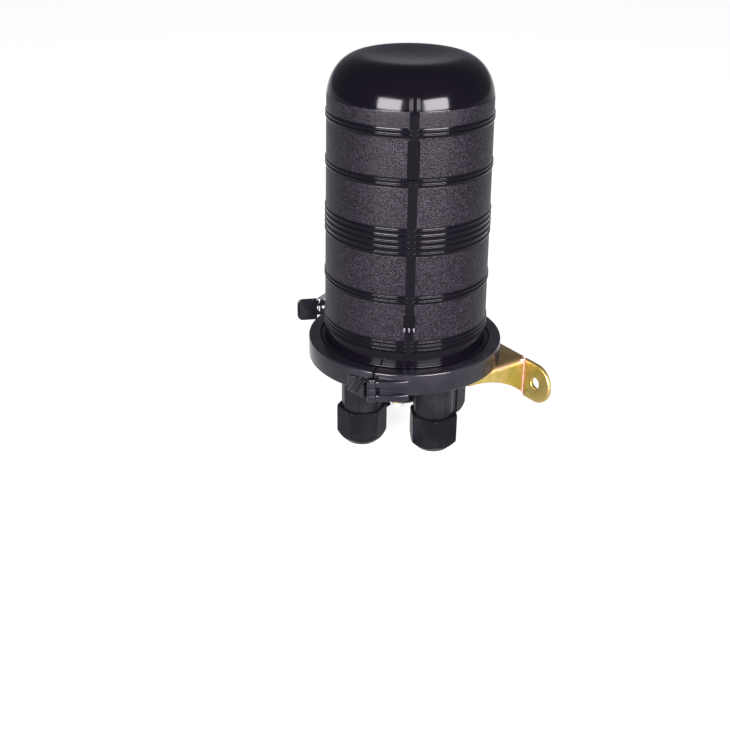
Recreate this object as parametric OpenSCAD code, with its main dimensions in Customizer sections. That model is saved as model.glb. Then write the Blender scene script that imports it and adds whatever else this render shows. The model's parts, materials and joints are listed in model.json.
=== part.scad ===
// Dome closure for spliced optical cables: a ribbed dome held down on a four-port
// base by a three-part hinged hoop, with gland nuts, splice trays and a wall bracket.
// Z is up and the bracket's arm points along +X, towards the wall that it hangs on.
// The origin lies in the wall face, midway between the bracket's two bolt holes.
// Each piece is first drawn round the dome's axis, standing on its nuts at height 0.

/* [Dome] */
// Outer diameter of the dome wall where it leaves the hoop
dome_d = 125; // [119:0.5:126]
// Height of the dome above the top face of the hoop
dome_h = 216; // [200:1:260]
// Thickness of the dome wall
dome_wall = 3; // [2:0.1:4]
// Draft of the moulded wall, in degrees
dome_draft = 0.64; // [0.3:0.02:1]
// Height of the rounded shoulder
shoulder_h = 31; // [24:1:38]
// Width of the rounded shoulder, measured inwards
shoulder_w = 25; // [20:0.5:30]
// Depth of the dish in the top
dish_depth = 1.8; // [1:0.1:2.6]
// Width of the sloping edge of the dish
dish_edge = 3; // [2:0.5:5]

/* [Rings and seam] */
// How far a ring stands proud of the dome wall
ring_proud = 0.7; // [0.3:0.05:1]
// Width of a ring
ring_w = 2.1; // [1.4:0.1:2.4]
// Spacing of the rings in the narrow groups
ring_pitch = 3; // [2.6:0.1:3.6]
// Spacing of the rings in the wide middle group
wide_ring_pitch = 4.3; // [3.6:0.1:5]
// Width of the smooth strip down the front of the dome
seam_w = 6.4; // [4:0.2:8]
// How far the smooth strip stands proud
seam_proud = 0.5; // [0.3:0.05:0.8]
// Width of the bead in the middle of the strip
bead_w = 3.6; // [2:0.2:3.8]
// How far the bead stands proud of the strip
bead_proud = 0.4; // [0.2:0.05:0.6]
// Width of the sunk windows that interrupt the strip
window_w = 8.4; // [7:0.2:10]
// Direction of the strip, in degrees from +X
seam_turn = 236; // [0:0.5:360]

/* [Hoop] */
// Outer diameter of the hoop
hoop_d = 150; // [148:0.5:156]
// Height of the hoop
hoop_h = 17; // [16:0.5:20]
// Radial thickness of the hoop's outer wall
hoop_wall = 3.6; // [3:0.1:4.2]
// Width of the lips that hold the two flanges together
lip_w = 9.2; // [8:0.1:9.6]
// Thickness of a lip at its inner edge
lip_t = 1.9; // [1.5:0.1:2.4]
// How much thicker a lip is at its root
lip_rise = 2; // [1.5:0.1:2.4]
// Chamfer on the outer edges of the hoop
hoop_chamfer = 0.8; // [0.4:0.1:1.2]
// Direction of the visible front hinge, in degrees from +X
front_hinge_turn = 216.2; // [210:0.2:222]
// Direction of the hidden rear hinge, in degrees from +X
rear_hinge_turn = 30; // [28:0.5:34]
// Direction of the joint that the latch closes, in degrees from +X
split_turn = 98; // [94:0.5:102]

/* [Hoop hinges] */
// Outer diameter of a hinge barrel
barrel_d = 7.2; // [6.6:0.2:8]
// Diameter of a hinge pin
hinge_pin_d = 3.2; // [2.6:0.1:3.6]
// Distance from the hoop's outer face to a hinge pin's axis
hinge_out = 4.5; // [4.2:0.1:5.5]
// Height of the front hinge's barrel
front_barrel_h = 16.8; // [15:0.2:17]
// How far the front barrel's top is below the top face of the hoop
front_barrel_drop = 4.5; // [4:0.1:5]
// Height of the rear hinge's barrel
rear_barrel_h = 15; // [13:0.2:15.6]
// Diameter of a hinge pin's head
pin_head_d = 6.6; // [6:0.1:7]
// Height of a hinge pin's head
pin_head_h = 1.8; // [1.2:0.1:2.2]

/* [Latch] */
// Height of the lever's paddle
paddle_h = 18.5; // [17:0.5:20]
// Distance from the lever's pivot to the tip of the paddle
paddle_reach = 28.6; // [26:0.2:32]
// Thickness of the paddle
paddle_t = 2.6; // [2:0.1:2.8]
// Radius of the paddle's corners
paddle_corner = 4.5; // [3:0.5:6]
// How far the lever stands open, in degrees
lever_open = 32.7; // [30:0.1:34]
// Diameter of the latch's two pins
latch_pin_d = 4; // [3:0.1:4.4]
// Length of the link between its pin and its cross bar
link_reach = 20.3; // [20.1:0.1:20.6]
// Angle of the standing link above the hoop's tangent, in degrees
link_open = 18; // [17:0.5:20]
// Diameter of the link's cross bar
link_bar_d = 3.2; // [2.6:0.1:3.4]
// Thickness of a link arm
link_arm_t = 1.8; // [1.4:0.1:2]
// Width of a link arm
link_arm_w = 5; // [4.6:0.1:5.2]

/* [Base] */
// Thickness of the base floor
base_floor = 6; // [5:0.5:8]
// How far the base's underside is below the hoop
base_drop = 1; // [0.6:0.1:2]
// Height of the rim that guides the dome, above the parting plane
rim_h = 8; // [5:0.5:12]
// Thickness of that rim
rim_t = 3; // [2:0.2:4]
// Diameter of the hollow boss in the middle
boss_d = 34; // [28:0.5:36]
// How far the boss's end is above the plane that the nuts stand on
boss_end_z = 26; // [22:0.5:34]
// Wall of the hollow boss
boss_wall = 2.5; // [2:0.1:4]
// Width of the seal groove
groove_w = 4.2; // [3.6:0.1:4.6]
// Depth of the seal groove
groove_depth = 3.2; // [2.6:0.1:3.4]

/* [Glands] */
// Distance from the dome's axis to a port's axis
port_r = 40.1; // [39.4:0.1:41]
// Outer diameter of a port tube
tube_d = 31; // [30.4:0.1:32]
// Bore of a port tube
tube_bore = 22; // [20:0.2:23]
// Length of a port tube between the nut and the base
tube_free = 34; // [26:0.5:44]
// Diameter of the threaded end of a port tube
thread_d = 28.5; // [27.5:0.1:29]
// Number of ribs round a port tube
tube_ribs = 8; // [4:1:12]
// Size of a gland nut across its flats
nut_af = 34.6; // [33.6:0.1:36]
// Height of a gland nut
nut_h = 29.5; // [27:0.5:32]
// Chamfer at the lower end of a gland nut
nut_chamfer = 7; // [5:0.5:8]
// Floor of a gland nut under the slip ring
nut_floor = 7; // [6:0.5:8]
// Opening in the floor of a gland nut
nut_mouth = 19; // [17:0.5:20]
// Height of the slip ring between a nut and its seal
slip_h = 3; // [2:0.5:4]
// Cable bore of a gland seal
cable_bore = 12; // [8:0.5:14]
// Length of a gland seal inside its tube
seal_len = 15; // [12:0.5:20]
// Thickness of the seal's end flange
seal_flange = 2; // [1.5:0.5:3]

/* [Bracket] */
// Thickness of the bracket's sheet
sheet_t = 3; // [2:0.5:3]
// Half of the bracket's width over its side flanges
arm_half_w = 61.5; // [60:0.5:63]
// Distance from the dome's axis to the wall face of the bracket
wall_x = 75; // [74:0.5:84]
// Distance from the dome's axis to the inner end of the bracket
arm_start_x = 17; // [17:0.5:19]
// Height of a wing, from the plate's top to the wing's lower edge
wing_h = 32; // [28:0.5:36]
// Distance from a side flange to the wing hole
wing_hole_out = 13.5; // [11:0.5:16]
// Diameter of a wing hole
wing_hole_d = 9; // [8:0.5:12]
// Depth of a side flange at its shallow inner end
flange_low_h = 9; // [7:0.5:12]
// Diameter of the bracket's screws
bracket_screw_d = 4; // [3:0.5:5]

/* [Earth bolt] */
// Thread diameter of the earth bolt
earth_d = 6; // [5:0.5:8]
// Distance of the earth bolt from the dome's axis
earth_r = 8.5; // [7:0.5:9]
// Direction of the earth bolt, in degrees from +X
earth_turn = 202; // [0:1:360]
// Length of stud that stands free below its nut
earth_free = 1; // [0.5:0.5:6]

/* [Trays] */
// Width of a splice tray
tray_w = 72; // [64:1:76]
// Length of a splice tray
tray_len = 156; // [140:1:166]
// Depth of a splice tray
tray_t = 7.5; // [6:0.5:8]
// Spacing of the trays
tray_pitch = 9; // [8.6:0.2:9.4]
// Wall of a tray
tray_wall = 1.6; // [1.2:0.2:2]
// Width of the frame that carries the trays
frame_w = 54; // [50:1:56]
// Height of the frame's upright plate
frame_h = 168; // [160:1:176]
// Sheet thickness of the frame
frame_t = 2; // [1.5:0.5:3]
// Depth of the slack basket
basket_depth = 17; // [12:0.5:18]
// Diameter of a tray's hinge pin
tray_pin_d = 3; // [2.4:0.2:3.4]

/* [Fits] */
// Gap between a flange and the hoop's lips
flange_gap = 0.3; // [0.2:0.05:0.4]
// Gap that keeps moving pieces apart
side_gap = 0.3; // [0.2:0.05:0.4]
// Radial running clearance of a pin or a thread
run_gap = 0.06; // [0.03:0.01:0.09]
// Radial clearance of a piece that stays where it is put
set_gap = 0.03; // [0.01:0.01:0.05]

/* [Hidden] */

round_fn = 96;
small_fn = 32;
// Overrun of every cut past the face it opens
over = 1;

plastic = "#1c1c20";
rubber = "#101012";
zinc = "#b59a3a";
steel = "#b8bcc2";
tray_grey = "#d9dad6";
clear = "#dfe8ee";

// Heights of the main faces above the plane that the nuts stand on
base_z = nut_h + tube_free;
hoop_z = base_z + base_drop;
hoop_top = hoop_z + hoop_h;
part_z = hoop_z + hoop_h / 2;
floor_z = base_z + base_floor;
top_z = hoop_top + dome_h;

// Radii shared by the dome, the base and the hoop
dome_r = dome_d / 2;
hoop_r = hoop_d / 2;
lip_r = hoop_r - lip_w;
channel_r = hoop_r - hoop_wall;
flange_r = channel_r - side_gap - set_gap;
land_r = lip_r - side_gap;
bore_r = dome_r - dome_wall;

// The dome's wall: radius falls with height by the draft
function wall_r(h) = dome_r - h * tan(dome_draft);
shoulder_z = dome_h - shoulder_h;
shoulder_steps = 14;
// Shoulder points, from the wall to the rim of the dish
function shoulder(inset) = [for (i = [0:shoulder_steps])
    let (a = 90 * i / shoulder_steps)
    [wall_r(shoulder_z) - shoulder_w + (shoulder_w - inset) * cos(a),
     shoulder_z + (shoulder_h - inset) * sin(a)]];

// Centres of the ring groups as shares of the dome's height, and rings in each
ring_shares = [0.076, 0.247, 0.45, 0.65, 0.811];
ring_counts = [3, 2, 5, 2, 2];
function group_pitch(g) = ring_counts[g] > 4 ? wide_ring_pitch : ring_pitch;
ring_heights = [for (g = [0:len(ring_shares) - 1], i = [0:ring_counts[g] - 1])
    dome_h * ring_shares[g] + group_pitch(g) * (i - (ring_counts[g] - 1) / 2)];
ring_crest_share = 0.22;
ring_foot_share = 0.5;
function ring_points(extra) = [for (h = ring_heights)
    for (p = [[-ring_foot_share, 0], [-ring_crest_share, 1],
              [ring_crest_share, 1], [ring_foot_share, 0]])
    [wall_r(h + p[0] * ring_w) + p[1] * ring_proud + extra, h + p[0] * ring_w]];

// Sunk windows across the strip, as shares of the dome's height
window_shares = [[0.129, 0.190], [0.66, 0.785]];
window_depth = 0.5;
tick_w = 1.1;
tick_h = 3;
tick_gap = 3.5;
tick_share = 0.131;

dish_r = wall_r(shoulder_z) - shoulder_w;
deg = 180 / PI;
function arc_turn(width, radius) = width / radius * deg;

// Moves a piece from the dome's axis to the part's own origin
module placed() {
    translate([-wall_x, 0, wing_h / 2 - base_z]) children();
}

module lift_dome() {
    translate([0, 0, hoop_top]) children();
}

module sector(from, to) {
    rotate([0, 0, from])
        rotate_extrude(angle = to - from, $fn = round_fn) children();
}

module dome_outline() {
    polygon(concat(
        [[0, 0], [dome_r, 0]],
        ring_points(0),
        shoulder(0),
        [[dish_r - dish_edge, dome_h - dish_depth], [0, dome_h - dish_depth]]));
}

module dome_hollow() {
    polygon(concat(
        [[0, -hoop_top], [bore_r, -hoop_top], [bore_r, 0]],
        [for (p = shoulder(dome_wall)) p],
        [[dish_r - dish_edge, dome_h - dish_depth - dome_wall],
         [0, dome_h - dish_depth - dome_wall]]));
}

// The strip follows the wall and the shoulder up to the dish
module strip_outline(proud) {
    polygon(concat(
        [[bore_r, 0], [dome_r + proud, 0]],
        [for (i = [0:shoulder_steps - 1]) let (p = shoulder(0)[i])
            p + [proud * (p[0] - dish_r) / shoulder_w,
                 proud * (p[1] - shoulder_z) / shoulder_h]],
        [[dish_r + dish_edge / 2, dome_h - dome_wall / 2]],
        [for (i = [shoulder_steps:-1:0]) shoulder(dome_wall)[i]]));
}

module dome_flange_outline() {
    cone_low = hoop_top - lip_t - lip_rise - flange_gap;
    cone_high = hoop_top - lip_t - flange_gap;
    polygon([[bore_r, part_z], [flange_r, part_z], [flange_r, cone_low],
        [land_r, cone_high], [land_r, hoop_top - side_gap - side_gap],
        [dome_r, hoop_top - side_gap - side_gap],
        [dome_r, hoop_top], [bore_r, hoop_top]]);
}

module dome_body() {
    difference() {
        union() {
            lift_dome() rotate_extrude($fn = round_fn) dome_outline();
            strip_turn = arc_turn(seam_w, dome_r) / 2;
            bead_turn = arc_turn(bead_w, dome_r) / 2;
            lift_dome() sector(seam_turn - strip_turn, seam_turn + strip_turn)
                strip_outline(seam_proud);
            for (side = [0, 180])
                lift_dome() sector(seam_turn + side - bead_turn,
                                   seam_turn + side + bead_turn)
                    strip_outline(seam_proud + bead_proud);
        }
        lift_dome() rotate_extrude($fn = round_fn) dome_hollow();
        window_turn = arc_turn(window_w, dome_r);
        lift_dome() for (w = window_shares)
            sector(seam_turn - window_turn / 2, seam_turn + window_turn / 2)
                translate([wall_r(dome_h * w[0]) - window_depth, dome_h * w[0]])
                    square([dome_wall, dome_h * (w[1] - w[0])]);
    }
}

// The dome is one moulding. Its crown, the two halves of its wall and its flange
// are drawn as pieces that meet face to face, so that each stays hollow.
module dome() {
    color(plastic) placed() intersection() {
        dome_body();
        translate([-dome_d, -dome_d, hoop_top + shoulder_z])
            cube([dome_d * 2, dome_d * 2, dome_h]);
    }
}

// Half of the wall. The halves meet beside the strip and its bead
module dome_wall_half(way) {
    cut_turn = seam_turn + arc_turn(window_w, dome_r);
    intersection() {
        dome_body();
        rotate([0, 0, cut_turn]) translate([-dome_d, way > 0 ? 0 : -dome_d * 2, hoop_top])
            cube([dome_d * 2, dome_d * 2, shoulder_z]);
    }
}

// Three ticks stand in the low end of the lower window
module dome_wall_front() {
    color(plastic) placed() {
        dome_wall_half(-1);
        lift_dome() for (i = [-1:1])
            rotate([0, 0, seam_turn + arc_turn(i * tick_gap, dome_r)])
                translate([wall_r(0) - dome_wall / 2, -tick_w / 2, dome_h * tick_share])
                    cube([dome_wall / 2 + seam_proud, tick_w, tick_h]);
    }
}

module dome_wall_rear() {
    color(plastic) placed() dome_wall_half(1);
}

module dome_flange() {
    color(plastic) placed()
        rotate_extrude($fn = round_fn) dome_flange_outline();
}

// Where the four ports stand
module at_port(n) {
    rotate([0, 0, 90 * (n - 1)]) translate([port_r, 0, 0]) children();
}

rim_r = bore_r - side_gap;
base_in_r = rim_r - rim_t;
groove_r = (rim_r + land_r) / 2 + groove_w / 4;
rib_w = 1.3;
rib_proud = 0.7;
tube_start_z = nut_h + side_gap;
thread_end_z = nut_floor + slip_h + seal_flange;
boss_floor = 3;
boss_round = 2;

module base_rim_outline() {
    cone_low = hoop_z + lip_t + flange_gap;
    cone_high = cone_low + lip_rise;
    difference() {
        polygon([[land_r, base_z], [land_r, cone_low],
            [flange_r, cone_high], [flange_r, part_z], [rim_r, part_z],
            [rim_r, part_z + rim_h], [base_in_r, part_z + rim_h],
            [base_in_r, base_z]]);
        translate([groove_r - groove_w / 2, part_z - groove_depth])
            square([groove_w, groove_depth + over]);
    }
}

// Places of the bracket's screws: along the arm and to its side
near_screw = boss_d / 2 + 7;
far_screw_turn = 28.5;
far_screw_r = base_in_r - 3.8;
screw_places = [[near_screw, near_screw],
    far_screw_r * [cos(far_screw_turn), sin(far_screw_turn)]];
screw_boss_r = 4.5;
screw_boss_h = 6;
screw_deep = 9;
// Places of the posts that anchor the cables' strength members
post_r = base_in_r - 12.2;
post_boss_r = 4.5;
post_h = 5;
post_screw_d = 3;
frame_foot = 12;
frame_screw_d = 3;
frame_screw_x_share = 0.37;
frame_screw_deep = 4.5;
frame_y = 4;
frame_screw_y = frame_y + frame_t + frame_foot / 2;

// The base is one moulding. Its floor, rim, middle boss and four port tubes are
// drawn as pieces that meet face to face, so that each keeps its own opening.
module base() {
    color(plastic) placed() difference() {
        intersection() {
            union() {
                translate([0, 0, base_z])
                    cylinder(r = base_in_r, h = base_floor, $fn = round_fn);
                for (p = screw_places, side = [-1, 1])
                    translate([p[0], p[1] * side, floor_z - over])
                        cylinder(r = screw_boss_r, h = screw_boss_h + over,
                            $fn = small_fn);
                for (turn = [45:90:315])
                    rotate([0, 0, turn]) translate([post_r, 0, floor_z - over])
                        cylinder(r = post_boss_r, h = post_h + over, $fn = small_fn);
            }
            translate([0, 0, base_z - over])
                cylinder(r = base_in_r, h = base_floor + part_z, $fn = round_fn);
        }
        for (n = [1:4]) at_port(n) translate([0, 0, base_z - over])
            cylinder(d = tube_d, h = base_floor + over + over, $fn = round_fn);
        translate([0, 0, base_z - over])
            cylinder(d = boss_d, h = base_floor + over + over, $fn = round_fn);
        for (p = screw_places, side = [-1, 1])
            translate([p[0], p[1] * side, base_z - over])
                cylinder(r = bracket_screw_d / 2 + set_gap, h = screw_deep + over,
                    $fn = small_fn);
        for (turn = [45:90:315])
            rotate([0, 0, turn])
                translate([post_r, 0, floor_z + post_h - frame_screw_deep])
                    cylinder(r = post_screw_d / 2 + set_gap,
                        h = frame_screw_deep + over, $fn = small_fn);
        for (side = [-1, 1])
            translate([side * frame_w * frame_screw_x_share, frame_screw_y,
                       floor_z - frame_screw_deep])
                cylinder(r = frame_screw_d / 2 + set_gap, h = frame_screw_deep + over,
                    $fn = small_fn);
    }
}

module base_rim() {
    color(plastic) placed() rotate_extrude($fn = round_fn) base_rim_outline();
}

module base_boss() {
    color(plastic) placed() difference() {
        translate([0, 0, boss_end_z])
            rotate_extrude($fn = round_fn)
                polygon([[0, 0], [boss_d / 2 - boss_round, 0],
                    [boss_d / 2, boss_round],
                    [boss_d / 2, floor_z - boss_end_z], [0, floor_z - boss_end_z]]);
        translate([0, 0, boss_end_z + boss_floor])
            cylinder(r = boss_d / 2 - boss_wall, h = floor_z, $fn = round_fn);
        rotate([0, 0, earth_turn]) translate([earth_r, 0, boss_end_z - over])
            cylinder(r = earth_d / 2 + set_gap, h = boss_floor + over + over,
                $fn = small_fn);
    }
}

// A port tube reaches up through the floor; its ribs end under it
module port_tube(n) {
    color(plastic) placed() at_port(n) difference() {
        union() {
            translate([0, 0, thread_end_z])
                cylinder(d = thread_d, h = floor_z - thread_end_z, $fn = round_fn);
            translate([0, 0, tube_start_z])
                cylinder(d = tube_d, h = floor_z - tube_start_z, $fn = round_fn);
            for (i = [0:tube_ribs - 1])
                rotate([0, 0, 360 * i / tube_ribs])
                    translate([tube_d / 2 - rib_w, -rib_w / 2, tube_start_z + rib_w])
                        cube([rib_w + rib_proud, rib_w,
                            base_z - tube_start_z - rib_w]);
        }
        translate([0, 0, thread_end_z - over])
            cylinder(d = tube_bore, h = floor_z - thread_end_z + over + over,
                $fn = round_fn);
    }
}
module port_tube_1() { port_tube(1); }
module port_tube_2() { port_tube(2); }
module port_tube_3() { port_tube(3); }
module port_tube_4() { port_tube(4); }

// A round seal, squeezed flat between the groove and the dome's flange
module o_ring() {
    color(rubber) placed()
        rotate_extrude($fn = round_fn)
            intersection() {
                translate([groove_r, part_z - groove_depth / 2])
                    circle(d = groove_w - side_gap, $fn = small_fn);
                translate([groove_r - groove_w / 2, part_z - groove_depth])
                    square([groove_w, groove_depth]);
            }
}

// Hoop: a channel whose sloping lips hold the two flanges together
module hoop_outline() {
    c = hoop_chamfer;
    translate([0, hoop_z])
        polygon([[hoop_r, c], [hoop_r, hoop_h - c], [hoop_r - c, hoop_h],
            [lip_r, hoop_h], [lip_r, hoop_h - lip_t],
            [channel_r, hoop_h - lip_t - lip_rise],
            [channel_r, lip_t + lip_rise], [lip_r, lip_t], [lip_r, 0],
            [hoop_r - c, 0]]);
}

hinge_r = hoop_r + hinge_out;
barrel_r = barrel_d / 2;
// Half of the gap between two parts of the hoop, as an angle
end_turn = 0.9;
arm_steps = 8;
arm_sink = 0.6;
arm_out = hinge_r + barrel_r / 3;
// The arm starts inside the barrel's wall, clear of its bore
arm_start_turn = (hinge_pin_d / 2 + barrel_r) / 2 / hinge_r * 180 / PI;
strip_turn_len = 16;
block_near_turn = 4.4;
block_far_turn = 17.5;
block_rise = 1.4;

// A flat arm whose outer edge runs from one radius to another as it goes round
module arm(from, to, r_from, r_to, z_low, z_high) {
    translate([0, 0, z_low]) linear_extrude(z_high - z_low)
        polygon(concat(
            [for (i = [0:arm_steps]) let (s = i / arm_steps,
                a = from + (to - from) * s, r = r_from + (r_to - r_from) * s)
                r * [cos(a), sin(a)]],
            [for (i = [arm_steps:-1:0]) let (a = from + (to - from) * i / arm_steps)
                (hoop_r - arm_sink) * [cos(a), sin(a)]]));
}

module at_hinge(turn) {
    rotate([0, 0, turn]) translate([hinge_r, 0, 0]) children();
}

// Heights of a barrel's three knuckles: the outer two belong to the front part
front_top = hoop_top - front_barrel_drop;
rear_top = hoop_top - (hoop_h - rear_barrel_h) / 2;
function knuckle_low(top, h, k) = top - h + k * h / 3 + (k > 0 ? side_gap / 2 : 0);
function knuckle_high(top, h, k) = top - h + (k + 1) * h / 3 - (k < 2 ? side_gap / 2 : 0);

// One knuckle with an arm on the side given by way (+1 or -1)
module knuckle(turn, top, h, k, way, reach) {
    low = knuckle_low(top, h, k);
    high = knuckle_high(top, h, k);
    at_hinge(turn) translate([0, 0, low])
        cylinder(r = barrel_r, h = high - low, $fn = small_fn);
    arm(turn + way * arm_start_turn, turn + way * reach, arm_out, hoop_r, low, high);
}

module hinge_bore(turn, top, h, gap) {
    at_hinge(turn) translate([0, 0, top - h - over])
        cylinder(r = hinge_pin_d / 2 + gap, h = h + over + over, $fn = small_fn);
}

// Ribbed block that joins a swinging part of the hoop to its middle knuckle
block_slots = 3;
block_slot_w = 2.4;
block_slot_deep = 2.6;
block_slot_lean = 35;
module hinge_block(turn, top, h, way) {
    difference() {
        arm(turn + way * block_near_turn, turn + way * block_far_turn,
            arm_out, hoop_r, top - h + block_rise, top - block_rise);
        step = (block_far_turn - block_near_turn) / (block_slots + 1);
        for (i = [1:block_slots])
            rotate([0, 0, turn + way * (block_near_turn + step * i)])
                translate([arm_out - block_slot_deep, 0, top - h / 2])
                    rotate([way * block_slot_lean, 0, 0])
                        translate([0, -block_slot_w / 2, -h])
                            cube([hinge_out + barrel_r, block_slot_w, h + h]);
    }
}

module clamp_front() {
    color(plastic) placed() difference() {
        union() {
            sector(front_hinge_turn + end_turn, 360 + rear_hinge_turn - end_turn)
                hoop_outline();
            for (k = [0, 2]) {
                knuckle(front_hinge_turn, front_top, front_barrel_h, k, 1,
                    strip_turn_len);
                knuckle(rear_hinge_turn, rear_top, rear_barrel_h, k, -1,
                    strip_turn_len);
            }
        }
        hinge_bore(front_hinge_turn, front_top, front_barrel_h, set_gap);
        hinge_bore(rear_hinge_turn, rear_top, rear_barrel_h, set_gap);
    }
}

// The latch is drawn at the split: X outwards, Y round the hoop, Z = 0 mid-height
latch_drop = 5;
module at_latch() {
    rotate([0, 0, split_turn])
        translate([hoop_r, 0, hoop_top - latch_drop]) children();
}
pivot_out = 7.5;
pivot_along = 4;
link_pin_out = 3.55;
link_pin_along = 9.3;
latch_pin_r = latch_pin_d / 2;
eye_r = latch_pin_r + 1.2;
ear_half = 2.5;
cheek_t = 2.5;
cheek_low = ear_half + side_gap / 2;
arm_low = cheek_low + cheek_t + side_gap;
link_pin_half = arm_low + link_arm_t + side_gap;
root_out = -1.5;
ear_root_from = 0.9;
ear_root_to = 9.5;
lug_half = 4.6;
lug_high = 5;
lug_from = -3.5;
lug_to = -1.2;
lug_root_to = -0.9;

// A slab in the latch's frame, the same above and below the middle
module slab(half) {
    translate([0, 0, -half]) linear_extrude(half + half) children();
}
module mirrored_slab(low, t) {
    for (side = [0, 1]) mirror([0, 0, side])
        translate([0, 0, low]) linear_extrude(t) children();
}

module clamp_left() {
    color(plastic) placed() difference() {
        union() {
            sector(split_turn + end_turn / 2, front_hinge_turn - end_turn)
                hoop_outline();
            knuckle(front_hinge_turn, front_top, front_barrel_h, 1, -1,
                block_near_turn + end_turn);
            hinge_block(front_hinge_turn, front_top, front_barrel_h, -1);
            at_latch() slab(ear_half) {
                translate([pivot_out, pivot_along]) circle(r = eye_r, $fn = small_fn);
                polygon([[root_out, ear_root_from], [pivot_out, pivot_along - eye_r],
                    [pivot_out, pivot_along + eye_r], [root_out, ear_root_to]]);
            }
        }
        hinge_bore(front_hinge_turn, front_top, front_barrel_h, run_gap);
        at_latch() translate([pivot_out, pivot_along, -ear_half - over])
            cylinder(r = latch_pin_r + set_gap, h = ear_half * 2 + over + over,
                $fn = small_fn);
    }
}

module clamp_rear() {
    color(plastic) placed() difference() {
        union() {
            sector(rear_hinge_turn + end_turn, split_turn - end_turn / 2)
                hoop_outline();
            knuckle(rear_hinge_turn, rear_top, rear_barrel_h, 1, 1,
                block_near_turn + end_turn);
            hinge_block(rear_hinge_turn, rear_top, rear_barrel_h, 1);
        }
        hinge_bore(rear_hinge_turn, rear_top, rear_barrel_h, run_gap);
    }
}

// The lug is one moulding with clamp_rear, drawn as a piece that meets it
module latch_lug() {
    color(plastic) placed() difference() {
        at_latch() slab(lug_half)
            polygon([[root_out, lug_from], [lug_high, lug_from],
                [lug_high, lug_to], [root_out, lug_root_to]]);
        sector(rear_hinge_turn + end_turn, split_turn - end_turn / 2)
            hoop_outline();
    }
}

module hinge_pin(turn, top, h) {
    color(steel) placed() at_hinge(turn) {
        translate([0, 0, top - h])
            cylinder(d = hinge_pin_d, h = h + pin_head_h / 2, $fn = small_fn);
        translate([0, 0, top])
            cylinder(d = pin_head_d, h = pin_head_h, $fn = small_fn);
    }
}
module hinge_pin_front() {
    hinge_pin(front_hinge_turn, front_top, front_barrel_h);
}
module hinge_pin_rear() {
    hinge_pin(rear_hinge_turn, rear_top, rear_barrel_h);
}

// The lever's own frame: Y along the paddle, X away from the closure
module at_lever() {
    at_latch() translate([pivot_out, pivot_along, 0])
        rotate([0, 0, -lever_open]) children();
}
paddle_low = -1.9;
paddle_start = 12.2;
cheek_end = 18;
cheek_root = paddle_low + paddle_t;

module latch_lever() {
    color(plastic) placed() at_lever() difference() {
        union() {
            mirrored_slab(cheek_low, cheek_t) {
                circle(r = eye_r, $fn = small_fn);
                translate([link_pin_out, link_pin_along])
                    circle(r = eye_r, $fn = small_fn);
                polygon([[paddle_low, 0], [eye_r, 0],
                    [link_pin_out + eye_r, link_pin_along],
                    [cheek_root, cheek_end], [paddle_low, cheek_end]]);
            }
            translate([paddle_low, 0, 0]) rotate([90, 0, 90])
                linear_extrude(paddle_t) {
                    far = paddle_reach - paddle_corner;
                    high = paddle_h / 2 - paddle_corner;
                    translate([paddle_start, -paddle_h / 2])
                        square([far - paddle_start, paddle_h]);
                    translate([paddle_start, -high])
                        square([paddle_reach - paddle_start, high * 2]);
                    for (side = [-1, 1]) translate([far, side * high])
                        circle(r = paddle_corner, $fn = small_fn);
                }
            // Thumb edge along the tip
            translate([paddle_low, paddle_reach - paddle_t, -paddle_h / 2 + paddle_corner])
                cube([paddle_t * 1.5, paddle_t, paddle_h - paddle_corner * 2]);
        }
        translate([0, 0, -paddle_h]) cylinder(r = latch_pin_r + run_gap,
            h = paddle_h * 2, $fn = small_fn);
        translate([link_pin_out, link_pin_along, -paddle_h])
            cylinder(r = latch_pin_r + set_gap, h = paddle_h * 2, $fn = small_fn);
    }
}

module lever_pin() {
    color(steel) placed() at_latch()
        translate([pivot_out, pivot_along, -cheek_low - cheek_t])
            cylinder(r = latch_pin_r, h = (cheek_low + cheek_t) * 2, $fn = small_fn);
}

module link_pin() {
    color(steel) placed() at_lever()
        translate([link_pin_out, link_pin_along, -link_pin_half])
            cylinder(r = latch_pin_r, h = link_pin_half * 2, $fn = small_fn);
}

module latch_link() {
    color(steel) placed() at_lever() translate([link_pin_out, link_pin_along, 0])
        rotate([0, 0, lever_open + link_open]) {
            difference() {
                mirrored_slab(arm_low, link_arm_t) {
                    circle(d = link_arm_w + run_gap * 2, $fn = small_fn);
                    translate([0, -link_reach]) circle(d = link_arm_w, $fn = small_fn);
                    translate([-link_arm_w / 2, -link_reach])
                        square([link_arm_w, link_reach]);
                }
                translate([0, 0, -link_pin_half])
                    cylinder(r = latch_pin_r + run_gap, h = link_pin_half * 2,
                        $fn = small_fn);
            }
            translate([0, -link_reach, -arm_low - link_arm_t / 2])
                cylinder(d = link_bar_d, h = arm_low * 2 + link_arm_t, $fn = small_fn);
        }
}

// Glands: nut, slip ring and seal, drawn on a port's axis
nut_ac = nut_af / cos(30);
nut_top_chamfer = 1;
nut_grip_gap = 0.1;
module gland_nut(n) {
    color(plastic) placed() at_port(n) difference() {
        intersection() {
            rotate([0, 0, 30]) cylinder(d = nut_ac, h = nut_h, $fn = 6);
            rotate_extrude($fn = round_fn)
                polygon([[0, 0], [nut_ac / 2 - nut_chamfer, 0],
                    [nut_ac / 2, nut_chamfer], [nut_ac / 2, nut_h - nut_top_chamfer],
                    [nut_ac / 2 - nut_top_chamfer, nut_h], [0, nut_h]]);
        }
        translate([0, 0, nut_floor])
            cylinder(r = thread_d / 2 + run_gap, h = nut_h, $fn = round_fn);
        translate([0, 0, -over])
            cylinder(d = nut_mouth, h = nut_h, $fn = round_fn);
    }
}

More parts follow.
